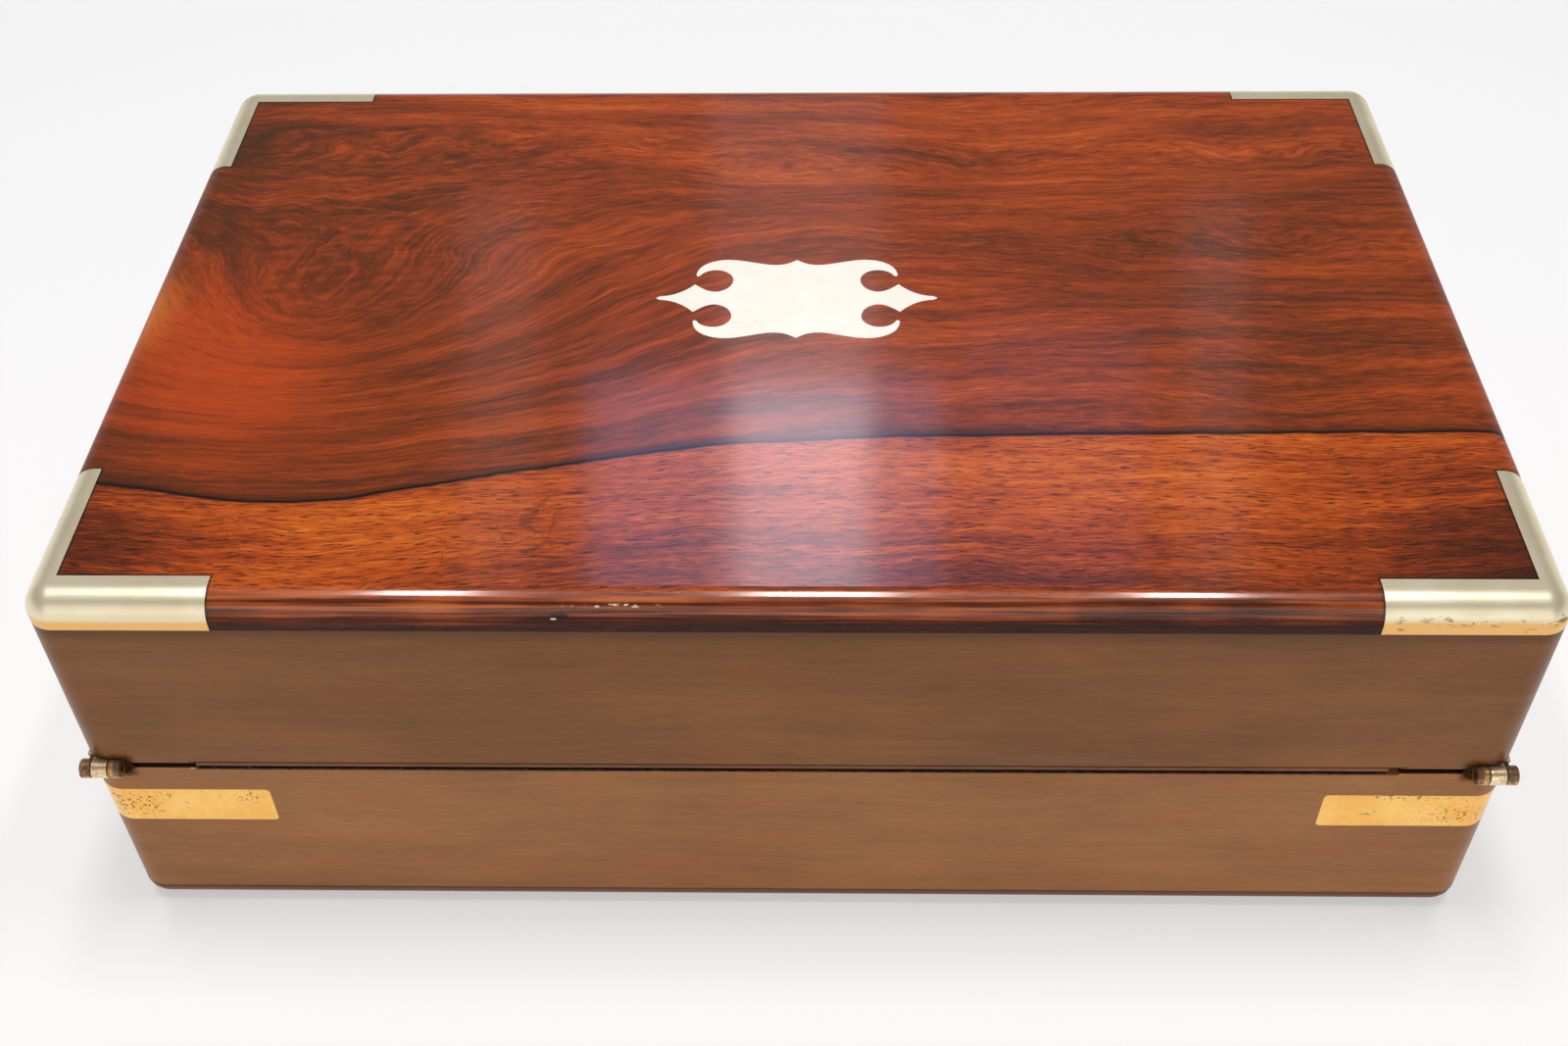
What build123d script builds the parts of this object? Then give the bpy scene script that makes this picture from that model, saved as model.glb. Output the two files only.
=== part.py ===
from build123d import *
import math
import os

# Writing box, closed, millimetres.  Origin: bottom centre of the closed box.
# X runs along the length, -Y is the hinge side, +Y is the lock side, Z is up.
# Left and right are as seen by the writer, who sits on the hinge side.

# ---- outside of the closed box ----
LENGTH = 406.0
DEPTH = 256.0
HEIGHT = 135.0
CORNER_R = 8.0            # upright corners
EDGE_R = 7.4              # top and bottom edges
WALL = 11.0
TOP_BOARD = 9.8
BOTTOM_BOARD = 7.0

# ---- the joint between base and lid ----
SLOPE = 8.3               # degrees, the writing slope
PIN_OUT = 1.0             # hinge axis outside the wall face
RIM_GAP = 0.8             # each wood rim stands back from the joint plane
RIM_ARRIS = 0.5           # rounded outer edge of each rim
PLATE_GAP = 0.06          # each brass face stands back from the joint plane

# ---- hinges ----
KNUCKLE_R = 2.8
KNUCKLE_IN = 11.2         # how far the knuckle reaches in from the side
KNUCKLE_PROUD = 0.3       # how far it stands out of the side
BARREL_OUTER = 3.1
BARREL_MIDDLE = 4.6       # the inner barrel takes the rest
BARREL_GAP = 0.2
BARREL_ROUND = 0.35
PIN_R = 1.1
PIN_CLEAR = 0.06
PIN_SHORT = 0.1
RECESS_CLEAR = 0.7        # room round a knuckle
RECESS_TAPER = 3.0        # length of the recess's tapered inner end
LEAF_T = 1.5
LEAF_LENGTH = 50.0        # far end of a leaf, from the axis
LEAF_INSET = 0.9
LEAF_CORNER = 1.6
SCREW_HEAD_R = 2.6
SCREW_LENGTH = 9.0
SCREW_FIRST = 12.0        # first screw, from the axis
SCREW_LAST = 8.0          # last screw, from the leaf's far end
SCREW_SUNK = 0.05

# ---- brass on the outside ----
SKIN = 1.0                # thickness of the let-in brass
MOUNT_X = 50.0            # arm along the length
MOUNT_Y = 52.0            # arm along the depth
MOUNT_FRONT = 10.6        # band width on the long edges
MOUNT_SIDE = 9.0          # band width on the short edges
STRAP_ARM = 50.8
STRAP_W = 14.4
STRAP_CORNER = 1.4
HINGE_STRAP_DROP = 11.1   # from the joint down to a strap, hinge side
LOCK_STRAP_DROP = 14.5    # the same on the lock side, below the higher rim

# ---- name plate ----
PLATE_Y = 2.2             # its centre, from the lid's middle
PLATE_TIP = 43.6

# ---- lock, link plate and keyhole ----
LOCK_INSET = 0.8          # plate edges, from the wall's faces
LOCK_HALF = 22.0
LOCK_DEPTH = 31.9         # case, below the joint
CASE_T = 8.4
CASE_BACK = 1.0
CASE_FRONT = 0.8
CASE_SIDE = 1.5
SELVEDGE_HALF = 33.0
SELVEDGE_T = 1.6
STAPLE_X = 10.0
STAPLE_IN = 3.56          # staple centre, from the wall's inner face
STAPLE_T = 2.0
STAPLE_W = 4.6
STAPLE_DROP = 8.6
STAPLE_ROUND = 1.5
WINDOW_TOP = 2.6
WINDOW_LOW = 7.3
SLOT_CLEAR = 0.9
BOLT_TRAVEL = 4.5
BOLT_T = 1.8
BOLT_IN = 3.6             # bolt's inner side, from the wall's inner face
BAR_DROP = 11.0           # bar's upper edge, below the joint
BAR_H = 6.4
BAR_LEFT = 19.0
BAR_RIGHT = 15.0
TONGUE_DROP = 4.3
TONGUE_H = 2.2
TONGUE_SHORT = 0.9        # tongue's tip, short of the staple when drawn back
POST_W = 2.8
TONGUE_L = 7.1
BIT_NOTCH = 6.4
BIT_NOTCH_H = 2.5
STUD_R = 1.2
STUD_X = (-6.0, 11.0)
STUD_DROP = 14.2
STUD_CLEAR = 0.3
KEY_DROP = 21.9
KEY_R = 2.4
KEY_SLOT_W = 1.8
KEY_SLOT_H = 6.5
KEY_PIN_R = 0.9
ESCUTCHEON_X = 7.0
ESCUTCHEON_Z = 11.0
ESCUTCHEON_T = 1.2
LOCK_SCREW_X = 28.0
LOCK_SCREW_R = 2.3
LOCK_SCREW_L = 8.0

# ---- writing flaps, rails and leather ----
BORDER = 32.0             # wood border at each side of the flaps
FLAP_T = 7.9
LEATHER_T = 1.0
LEATHER_MARGIN = 5.0
LEDGE = 5.0
LEDGE_T = 4.0
FIT = 0.4                 # clearance round a flap
STRIP = 1.3               # the lid flap's edge that shows below the lid wall
STRIP_GROOVE = 0.2
STRIP_NOTCH = 3.4         # strip and cloth stop short at their right end
LIP_OVER = 4.0            # how far the lip and the cloth reach past the wall
BEAD = 3.0                # outer part of the lip, down at the joint plane
CLOTH_T = 0.9             # cloth that joins the two flaps, let into the base's rim
PIVOT_R = 1.5
PIVOT_IN = 5.0            # flap pivot, from the hinge wall
PIVOT_DOWN = 4.4          # flap pivot, below the writing surface
PIVOT_FLAP = 8.0
PIVOT_RAIL = 9.0
LID_RAIL = 21.0           # rail along the lid's lock wall

# ---- catch of the lid's flap ----
CATCH_HALF = 9.0
CATCH_BACK = 18.0
CATCH_START = 0.6
CATCH_T = 1.2
CATCH_BOLT_HALF = 3.2
CATCH_BOLT_T = 2.4
CATCH_BOLT_IN = 5.0       # how far the bolt reaches into the flap
CATCH_BOLT_BACK = 9.0
CATCH_TRAVEL = 5.5
CATCH_CLEAR = 0.3
THUMB_HALF = 1.2
THUMB_AT = 5.2
THUMB_L = 2.2

# ---- pen tray, bays and inkwells ----
TRAY_SPACE = 63.0         # from the lock wall to the flap
DIVIDER_T = 6.0
SHELF_LOW = 44.0
SHELF_T = 6.0
BAY = 51.0                # width of an inkwell bay
PARTITION_T = 4.0
PARTITION_DROP = 6.0
CLEAT = 6.0
TRAY_DROP = 8.0           # tray's top, below the rim at the divider
TRAY_T = 15.0
TRAY_FLOOR = 4.0
TRAY_SCOOP_R = 38.0
TRAY_END = 7.0
TRAY_LIP = 3.0
TRAY_FIT = 0.5
WELL = 44.0
WELL_H = 33.0
WELL_CORNER = 5.0
WELL_SHOULDER = 3.0
WELL_FLOOR = 10.0
WELL_BORE_R = 17.0
WELL_TOP = 4.0            # glass above the reservoir
NECK_R = 11.5
NECK_BORE_R = 8.5
NECK_H = 2.9
CAP_R = 15.5
CAP_H = 8.0
CAP_WALL = 3.7
CAP_ROUND = 2.4
CAP_LIFT = 0.1
CAP_HOLLOW = 4.0
KNOB_R = 3.0
KNOB_H = 1.4

HX = LENGTH / 2
HY = DEPTH / 2
IX = HX - WALL
IY = HY - WALL
FLAP_X = HX - BORDER
HINGE_Y = -HY - PIN_OUT
HINGE_Z = HEIGHT / 2      # so the open lid lies level with the base
RIM = Location((0, HINGE_Y, HINGE_Z), (SLOPE, 0, 0))
BIG = 600.0


def up_slope(y):
    """Distance up the slope from the hinge axis to a given y."""
    return (y - HINGE_Y) / math.cos(math.radians(SLOPE))


def rim_z(y):
    """Height of the joint plane at a given y."""
    return HINGE_Z + (y - HINGE_Y) * math.tan(math.radians(SLOPE))


def block(x0, x1, y0, y1, z0, z1):
    """A box from its limits."""
    box = Box(abs(x1 - x0), abs(y1 - y0), abs(z1 - z0))
    return Pos((x0 + x1) / 2, (y0 + y1) / 2, (z0 + z1) / 2) * box


def rim_block(x0, x1, s0, s1, t0, t1):
    """A box in the joint plane's frame: s up the slope from the axis, t square to it."""
    return RIM * block(x0, x1, s0, s1, t0, t1)


def rounded_box(inset):
    """The closed box's outside, moved inwards by inset."""
    shape = block(-HX + inset, HX - inset, -HY + inset, HY - inset, inset, HEIGHT - inset)
    shape = fillet(shape.edges().filter_by(Axis.Z), CORNER_R - inset)
    caps = shape.faces().sort_by(Axis.Z)
    rims = caps[0].edges() + caps[-1].edges()
    return fillet(rims, EDGE_R - inset)


def plan_prism(points):
    """A plan outline raised through the whole height."""
    outline = make_face(Polyline(*points, close=True))
    return extrude(outline, amount=HEIGHT)


def x_rod(radius, x0, x1, y, z):
    """A round rod along X."""
    rod = Cylinder(radius, abs(x1 - x0), rotation=(0, 90, 0))
    return Pos((x0 + x1) / 2, y, z) * rod


def y_rod(radius, y0, y1, x, z):
    """A round rod along Y."""
    rod = Cylinder(radius, abs(y1 - y0), rotation=(90, 0, 0))
    return Pos(x, (y0 + y1) / 2, z) * rod


def mirrored(shape):
    """The same piece on the other side."""
    return mirror(shape, about=Plane.YZ)


def one(shape):
    """The single solid of a piece, or the group as it is."""
    solids = shape.solids()
    if len(solids) == 1:
        return solids[0]
    return Compound(children=list(solids))


def group(shapes):
    """Several like solids as one piece."""
    return Compound(children=[one(shape) for shape in shapes])


def screw(head_r, length):
    """A countersunk screw, its head's face at z = 0, pointing down."""
    shank = head_r * 0.5
    rim = 0.25
    profile = Polyline(
        (0, 0),
        (head_r, 0),
        (head_r, -rim),
        (shank, -rim - (head_r - shank)),
        (shank, -length * 0.75),
        (0, -length),
        close=True,
    )
    return revolve(Plane.XZ * make_face(profile), axis=Axis.Z)


def screw_pair(place, head_r, length, turn):
    """A screw as the blank that its hole is cut with, and with its driver slot."""
    blank = screw(head_r, length)
    half = head_r * 0.13
    slot = Rot(0, 0, turn) * block(-head_r, head_r, -half, half, -head_r * 0.3, 1)
    return place * blank, place * (blank - slot)


def cut_all(shape, tools):
    for tool in tools:
        shape = shape - tool
    return shape


# ================================================================ the two shells
outer = rounded_box(0)
skin = outer - rounded_box(SKIN)
below_rim = rim_block(-BIG, BIG, -BIG, BIG, -BIG, -RIM_GAP)
above_rim = rim_block(-BIG, BIG, -BIG, BIG, RIM_GAP, BIG)
base_shell = outer & below_rim & block(-BIG, BIG, -BIG, BIG, BOTTOM_BOARD, BIG)
base_shell = fillet(base_shell.faces().sort_by(Axis.Z)[-1].edges(), RIM_ARRIS)
lid_shell = outer & above_rim & block(-BIG, BIG, -BIG, BIG, 0, HEIGHT - TOP_BOARD)
lid_shell = fillet(lid_shell.faces().sort_by(Axis.Z)[0].edges(), RIM_ARRIS)

hinge_plan = [(-HX, -HY), (HX, -HY), (IX, -IY), (-IX, -IY)]
lock_plan = [(-HX, HY), (HX, HY), (IX, IY), (-IX, IY)]
right_plan = [(HX, -HY), (IX, -IY), (IX, IY), (HX, HY)]
interior = block(-IX, IX, -IY, IY, BOTTOM_BOARD, HEIGHT - TOP_BOARD)

parts = {}

# ================================================================ hinges
# Barrel limits on the right-hand side, from the outside inwards.
RECESS_R = KNUCKLE_R + RECESS_CLEAR
outer_x1 = HX + KNUCKLE_PROUD
outer_x0 = outer_x1 - BARREL_OUTER
middle_x1 = outer_x0 - BARREL_GAP
middle_x0 = middle_x1 - BARREL_MIDDLE
inner_x1 = middle_x0 - BARREL_GAP
inner_x0 = HX - KNUCKLE_IN
leaf_x0 = IX + LEAF_INSET
leaf_x1 = HX - LEAF_INSET


def leaf(barrels, side):
    """A hinge leaf: side is -1 for the base, below the joint plane, and +1 for the lid."""
    faces = (side * PLATE_GAP, side * (PLATE_GAP + LEAF_T))
    low, high = min(faces), max(faces)
    plate = rim_block(leaf_x0, leaf_x1, RECESS_R + 0.2, LEAF_LENGTH, low, high)
    corners = plate.edges().filter_by(lambda edge: abs(edge.length - LEAF_T) < 0.01)
    plate = fillet(corners.sort_by(Axis.Y)[-2:], LEAF_CORNER)
    for x0, x1 in barrels:
        rod = x_rod(KNUCKLE_R, x0, x1, HINGE_Y, HINGE_Z)
        rod = fillet(rod.edges().filter_by(GeomType.CIRCLE), BARREL_ROUND)
        tongue_x = (max(x0, leaf_x0), min(x1, leaf_x1))
        tongue = rim_block(tongue_x[0], tongue_x[1], PIN_R, RECESS_R + 1, low, high)
        bore = x_rod(PIN_R + PIN_CLEAR, x0 - 1, x1 + 1, HINGE_Y, HINGE_Z)
        plate = plate + rod + tongue - bore
    return plate


def leaf_screws(side):
    """Three screws in a row along a leaf."""
    x = (leaf_x0 + leaf_x1) / 2
    last = LEAF_LENGTH - SCREW_LAST
    rows = (SCREW_FIRST, (SCREW_FIRST + last) / 2, last)
    flip = Rot(180, 0, 0) if side > 0 else Rot(0, 0, 0)
    pairs = []
    for index, s in enumerate(rows):
        place = RIM * Pos(x, s, side * (PLATE_GAP + SCREW_SUNK)) * flip
        pairs.append(screw_pair(place, SCREW_HEAD_R, SCREW_LENGTH, 25 + 50 * index))
    return [pair[0] for pair in pairs], [pair[1] for pair in pairs]


base_blanks, base_screws = leaf_screws(-1)
lid_blanks, lid_screws = leaf_screws(1)
base_leaf = cut_all(leaf([(outer_x0, outer_x1), (inner_x0, inner_x1)], -1), base_blanks)
lid_leaf = cut_all(leaf([(middle_x0, middle_x1)], 1), lid_blanks)
hinge_pin = x_rod(PIN_R, inner_x0 + PIN_SHORT, outer_x1 - PIN_SHORT, HINGE_Y, HINGE_Z)

# Room in the wood for one hinge: the round recess, its tapered inner end and the leaf.
recess_x0 = inner_x0 - 0.5
recess = x_rod(RECESS_R, recess_x0, HX + 2, HINGE_Y, HINGE_Z)
taper = Cone(RECESS_R, RECESS_R * 0.35, RECESS_TAPER, rotation=(0, -90, 0))
recess = recess + Pos(recess_x0 - RECESS_TAPER / 2, HINGE_Y, HINGE_Z) * taper
seat_t = PLATE_GAP + LEAF_T
base_hinge_room = recess + rim_block(leaf_x0, leaf_x1, 0, LEAF_LENGTH, -seat_t, 0)
lid_hinge_room = recess + rim_block(leaf_x0, leaf_x1, 0, LEAF_LENGTH, 0, seat_t)
for blank in base_blanks:
    base_hinge_room = base_hinge_room + blank
for blank in lid_blanks:
    lid_hinge_room = lid_hinge_room + blank

parts["right_base_hinge_leaf"] = base_leaf
parts["left_base_hinge_leaf"] = mirrored(base_leaf)
parts["right_lid_hinge_leaf"] = lid_leaf
parts["left_lid_hinge_leaf"] = mirrored(lid_leaf)
parts["right_hinge_pin"] = hinge_pin
parts["left_hinge_pin"] = mirrored(hinge_pin)
parts["base_hinge_screws"] = group(base_screws + [mirrored(piece) for piece in base_screws])
parts["lid_hinge_screws"] = group(lid_screws + [mirrored(piece) for piece in lid_screws])

# ================================================================ lock, link plate, keyhole
lock_s0 = up_slope(IY + LOCK_INSET)
lock_s1 = up_slope(HY - LOCK_INSET)
lock_s = (lock_s0 + lock_s1) / 2
staple_s = up_slope(IY + STAPLE_IN)
lock_z = rim_z(IY + STAPLE_IN)
case_low = lock_z - LOCK_DEPTH
case_y1 = IY + CASE_T
key_z = lock_z - KEY_DROP
stud_z = lock_z - STUD_DROP
plate_t = PLATE_GAP + SELVEDGE_T

under_plate = rim_block(-BIG, BIG, -BIG, BIG, -BIG, -plate_t)
case = block(-LOCK_HALF, LOCK_HALF, IY, case_y1, case_low, HEIGHT) & under_plate
selvedge = rim_block(-SELVEDGE_HALF, SELVEDGE_HALF, lock_s0, lock_s1, -plate_t, -PLATE_GAP)
lock_room = case + selvedge
cavity_x = LOCK_HALF - CASE_SIDE
cavity = block(
    -cavity_x, cavity_x, IY + CASE_BACK, case_y1 - CASE_FRONT, case_low + CASE_SIDE, HEIGHT
)
key_way = y_rod(KEY_R, IY - 2, HY + 2, 0, key_z)
key_way = key_way + block(
    -KEY_SLOT_W / 2, KEY_SLOT_W / 2, IY - 2, HY + 2, key_z - KEY_SLOT_H, key_z
)
lock_case = lock_room - (cavity & under_plate)
for x in (-STAPLE_X, STAPLE_X):
    half_x = STAPLE_T / 2 + SLOT_CLEAR - 0.2
    half_s = STAPLE_W / 2 + SLOT_CLEAR
    slot = rim_block(x - half_x, x + half_x, staple_s - half_s, staple_s + half_s, -4, 1)
    lock_case = lock_case - slot
front_half = block(-BIG, BIG, IY + CASE_T / 2, BIG, 0, BIG)
lock_case = lock_case - (key_way & front_half)
rod_y = (IY + CASE_BACK / 2, case_y1 - CASE_FRONT / 2)
lock_case = lock_case + y_rod(KEY_PIN_R, rod_y[0], rod_y[1], 0, key_z)
for x in STUD_X:
    lock_case = lock_case + y_rod(STUD_R, rod_y[0], rod_y[1], x, stud_z)

bolt_y = (IY + BOLT_IN, IY + BOLT_IN + BOLT_T)
bar_top = lock_z - BAR_DROP
bar_low = bar_top - BAR_H
bolt = block(-BAR_LEFT, BAR_RIGHT, bolt_y[0], bolt_y[1], bar_low, bar_top)
bolt = bolt - block(
    -BIT_NOTCH / 2, BIT_NOTCH / 2, bolt_y[0] - 1, bolt_y[1] + 1, bar_low - 1, bar_low + BIT_NOTCH_H
)
for x in STUD_X:
    reach = STUD_R + STUD_CLEAR
    bolt = bolt - block(
        x - BOLT_TRAVEL - reach, x + reach, bolt_y[0] - 1, bolt_y[1] + 1,
        stud_z - reach, stud_z + reach
    )
tongue_top = lock_z - TONGUE_DROP
for x in (-STAPLE_X, STAPLE_X):
    tip = x - STAPLE_T / 2 - TONGUE_SHORT
    foot = tip - TONGUE_L
    post = block(foot, foot + POST_W, bolt_y[0], bolt_y[1], bar_top - 1, tongue_top)
    tongue = block(foot, tip, bolt_y[0], bolt_y[1], tongue_top - TONGUE_H, tongue_top)
    bolt = bolt + post + tongue
parts["lock_bolt"] = bolt

link = rim_block(-SELVEDGE_HALF, SELVEDGE_HALF, lock_s0, lock_s1, PLATE_GAP, plate_t)
for x in (-STAPLE_X, STAPLE_X):
    loop = rim_block(
        x - STAPLE_T / 2, x + STAPLE_T / 2,
        staple_s - STAPLE_W / 2, staple_s + STAPLE_W / 2,
        -STAPLE_DROP, 1.0
    )
    foot_edges = loop.edges().filter_by(Axis.X).sort_by(Axis.Z)[:2]
    loop = fillet(foot_edges, STAPLE_ROUND)
    window = rim_block(
        x - STAPLE_T, x + STAPLE_T, staple_s - 1.3, staple_s + 1.5, -WINDOW_LOW, -WINDOW_TOP
    )
    link = link + (loop - window)

lock_blanks, lock_screws, link_blanks, link_screws = [], [], [], []
for x, turn in ((-LOCK_SCREW_X, 20), (LOCK_SCREW_X, 70)):
    place = RIM * Pos(x, lock_s, -PLATE_GAP - SCREW_SUNK)
    blank, piece = screw_pair(place, LOCK_SCREW_R, LOCK_SCREW_L, turn)
    lock_blanks.append(blank)
    lock_screws.append(piece)
    place = RIM * Pos(x, lock_s, PLATE_GAP + SCREW_SUNK) * Rot(180, 0, 0)
    blank, piece = screw_pair(place, LOCK_SCREW_R, LOCK_SCREW_L, turn + 40)
    link_blanks.append(blank)
    link_screws.append(piece)
lock_case = cut_all(lock_case, lock_blanks)
link = cut_all(link, link_blanks)
parts["lock_case"] = lock_case
parts["lock_link_plate"] = link
parts["lock_case_screws"] = group(lock_screws)
parts["link_plate_screws"] = group(link_screws)

oval = Plane.XZ * Ellipse(ESCUTCHEON_X, ESCUTCHEON_Z)
oval_z = key_z - (KEY_SLOT_H - KEY_R) / 2
oval_solid = Pos(0, HY, oval_z) * extrude(oval, amount=ESCUTCHEON_T, both=True)
escutcheon_room = oval_solid & block(-BIG, BIG, HY - ESCUTCHEON_T, HY, 0, BIG)
parts["keyhole_escutcheon"] = escutcheon_room - key_way

# ================================================================ brass straps and corner mounts


def strap_zone(top):
    """The space of one strap round the right-hand hinge-side corner, its ends' corners rounded."""
    low = top - STRAP_W
    along = block(HX - STRAP_ARM, BIG, -BIG, -HY + 2 * SKIN, low, top)
    ends = along.edges().filter_by(Axis.Y).sort_by(Axis.X)[:2]
    along = fillet(ends, STRAP_CORNER)
    back = block(HX - 2 * SKIN, BIG, -BIG, -HY + STRAP_ARM, low, top)
    ends = back.edges().filter_by(Axis.X).sort_by(Axis.Y)[-2:]
    back = fillet(ends, STRAP_CORNER)
    corner = block(HX - CORNER_R, BIG, -BIG, -HY + CORNER_R, low, top)
    return along + back + corner


strap = skin & strap_zone(HINGE_Z - HINGE_STRAP_DROP)
lock_strap = mirror(skin & strap_zone(rim_z(HY) - LOCK_STRAP_DROP), about=Plane.XZ)
parts["base_strap_hinge_right"] = strap
parts["base_strap_hinge_left"] = mirrored(strap)
parts["base_strap_lock_right"] = lock_strap
parts["base_strap_lock_left"] = mirrored(lock_strap)

mount_zone = block(HX - MOUNT_X, BIG, -BIG, -HY + MOUNT_Y, HEIGHT - TOP_BOARD, BIG)
mount_zone = mount_zone - block(0, HX - MOUNT_SIDE, -HY + MOUNT_FRONT, BIG, 0, BIG)
mount = skin & mount_zone
mount_back = mirror(mount, about=Plane.XZ)
parts["lid_mount_hinge_right"] = mount
parts["lid_mount_hinge_left"] = mirrored(mount)
parts["lid_mount_lock_right"] = mount_back
parts["lid_mount_lock_left"] = mirrored(mount_back)

# ================================================================ the name plate, bare
# One quarter of the outline, from the centre peak round to the point.
peak = [(0.0, 19.7), (1.6, 18.6), (3.6, 17.6), (6.3, 17.1), (10.5, 17.6)]
hump = [(10.5, 17.6), (16.0, 19.0), (22.5, 19.8), (28.4, 17.8), (31.6, 11.6)]
horn = [(31.6, 11.6), (31.2, 11.1), (30.5, 11.3)]
bay = [(30.5, 11.3), (27.8, 13.9), (23.4, 14.0), (20.1, 10.6), (20.1, 7.6), (23.0, 3.9)]
neck = [(23.0, 3.9), (26.2, 3.3), (29.4, 4.9), (31.8, 7.0)]
point = [(31.8, 7.0), (34.6, 4.1), (38.6, 1.7), (42.4, 0.9)]
quarter = [
    Spline(*peak),
    Spline(*hump),
    Polyline(*horn),
    Spline(*bay),
    Spline(*neck),
    Spline(*point),
    Line(point[-1], (PLATE_TIP, 0.0)),
    Line((PLATE_TIP, 0.0), (0.0, 0.0)),
    Line((0.0, 0.0), peak[0]),
]
quarter_face = make_face(Curve() + quarter)
half_face = quarter_face + mirror(quarter_face, about=Plane.XZ)
plate_face = half_face + mirror(half_face, about=Plane.YZ)
name_plate = Pos(0, PLATE_Y, HEIGHT - SKIN) * extrude(plate_face, amount=SKIN)
parts["name_plate"] = name_plate

# ================================================================ base boards
parts["base_bottom_board"] = outer & block(-BIG, BIG, -BIG, BIG, 0, BOTTOM_BOARD)
lip_s = up_slope(-IY) + LIP_OVER
cloth_t = -RIM_GAP - CLOTH_T
cloth_seat = rim_block(-FLAP_X, FLAP_X, -5, lip_s, cloth_t, 1)
hinge_wall = base_shell & plan_prism(hinge_plan)
hinge_wall = cut_all(
    hinge_wall, [cloth_seat, strap, mirrored(strap), base_hinge_room, mirrored(base_hinge_room)]
)
lock_wall = base_shell & plan_prism(lock_plan)
lock_wall = cut_all(lock_wall, [lock_strap, mirrored(lock_strap), lock_room, key_way])
lock_wall = cut_all(lock_wall, [escutcheon_room] + lock_blanks)
right_wall = base_shell & plan_prism(right_plan)
right_wall = cut_all(right_wall, [strap, lock_strap, base_hinge_room])
parts["base_hinge_wall"] = hinge_wall
parts["base_lock_wall"] = lock_wall
parts["base_right_wall"] = right_wall
parts["base_left_wall"] = mirrored(right_wall)

# ================================================================ base rails, flap and leather
divider_y = IY - TRAY_SPACE
pivot_s = up_slope(-IY + PIVOT_IN)
top_t = -RIM_GAP
flap_t = top_t - FLAP_T
front_part = block(-IX, IX, -IY, divider_y, BOTTOM_BOARD, HEIGHT)

rail = rim_block(FLAP_X, IX, 0, BIG, flap_t, top_t)
rail = rail + rim_block(FLAP_X - LEDGE, IX, 0, BIG, flap_t - LEDGE_T, flap_t)
pivot = RIM * x_rod(PIVOT_R, FLAP_X - PIVOT_FLAP, FLAP_X + PIVOT_RAIL, pivot_s, top_t - PIVOT_DOWN)
rail = (rail & front_part) - pivot
parts["base_right_rail"] = rail
parts["base_left_rail"] = mirrored(rail)
parts["base_flap_pins"] = group([pivot, mirrored(pivot)])

flap = rim_block(-FLAP_X + FIT, FLAP_X - FIT, 0, BIG, flap_t, top_t)
flap = flap & block(-IX, IX, -IY + FIT, divider_y - FIT, 0, HEIGHT)
inlay_x = FLAP_X - LEATHER_MARGIN
leather = rim_block(-inlay_x, inlay_x, 0, BIG, top_t - LEATHER_T, top_t)
leather = leather & block(
    -IX, IX, -IY + LEATHER_MARGIN, divider_y - LEATHER_MARGIN, 0, HEIGHT
)
parts["base_flap_board"] = cut_all(flap, [cloth_seat, leather, pivot, mirrored(pivot)])
parts["base_flap_leather"] = leather
cloth = rim_block(-FLAP_X + FIT, FLAP_X - STRIP_NOTCH, 0, lip_s, cloth_t, top_t)
parts["base_joint_cloth"] = cloth & block(-IX, IX, -HY, 0, 0, HEIGHT)

# ================================================================ partition, shelf, bays, tray
shelf_y = divider_y + DIVIDER_T
divider = block(-IX, IX, divider_y, shelf_y, SHELF_LOW, HEIGHT) & below_rim
ledge = rim_block(-IX, IX, 0, BIG, flap_t - LEDGE_T, flap_t)
ledge_x = FLAP_X - LEDGE
ledge = ledge & block(-ledge_x, ledge_x, divider_y - LEDGE, divider_y, 0, HEIGHT)
parts["tray_divider"] = divider + ledge
shelf_top = SHELF_LOW + SHELF_T
parts["ink_shelf"] = block(-IX, IX, shelf_y, IY, SHELF_LOW, shelf_top)
bay_x = IX - BAY
partition = block(bay_x - PARTITION_T, bay_x, shelf_y, IY, shelf_top, HEIGHT)
partition = partition & rim_block(-BIG, BIG, -BIG, BIG, -BIG, top_t - PARTITION_DROP)
parts["right_partition"] = partition
parts["left_partition"] = mirrored(partition)

tray_low = rim_z(shelf_y) - TRAY_DROP - TRAY_T
tray_x = bay_x - PARTITION_T - TRAY_FIT
tray_y = (shelf_y + TRAY_FIT, IY - TRAY_FIT)
cleat_x = bay_x - PARTITION_T
cleat = block(cleat_x - CLEAT, cleat_x, shelf_y, IY, tray_low - CLEAT, tray_low)
parts["tray_cleats"] = group([cleat, mirrored(cleat)])
tray = block(-tray_x, tray_x, tray_y[0], tray_y[1], tray_low, tray_low + TRAY_T)
scoop_x = tray_x - TRAY_END
scoop_z = tray_low + TRAY_FLOOR + TRAY_SCOOP_R
scoop = x_rod(TRAY_SCOOP_R, -scoop_x, scoop_x, (tray_y[0] + tray_y[1]) / 2, scoop_z)
scoop = scoop & block(-BIG, BIG, tray_y[0] + TRAY_LIP, tray_y[1] - TRAY_LIP, 0, BIG)
parts["pen_tray"] = tray - scoop

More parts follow.
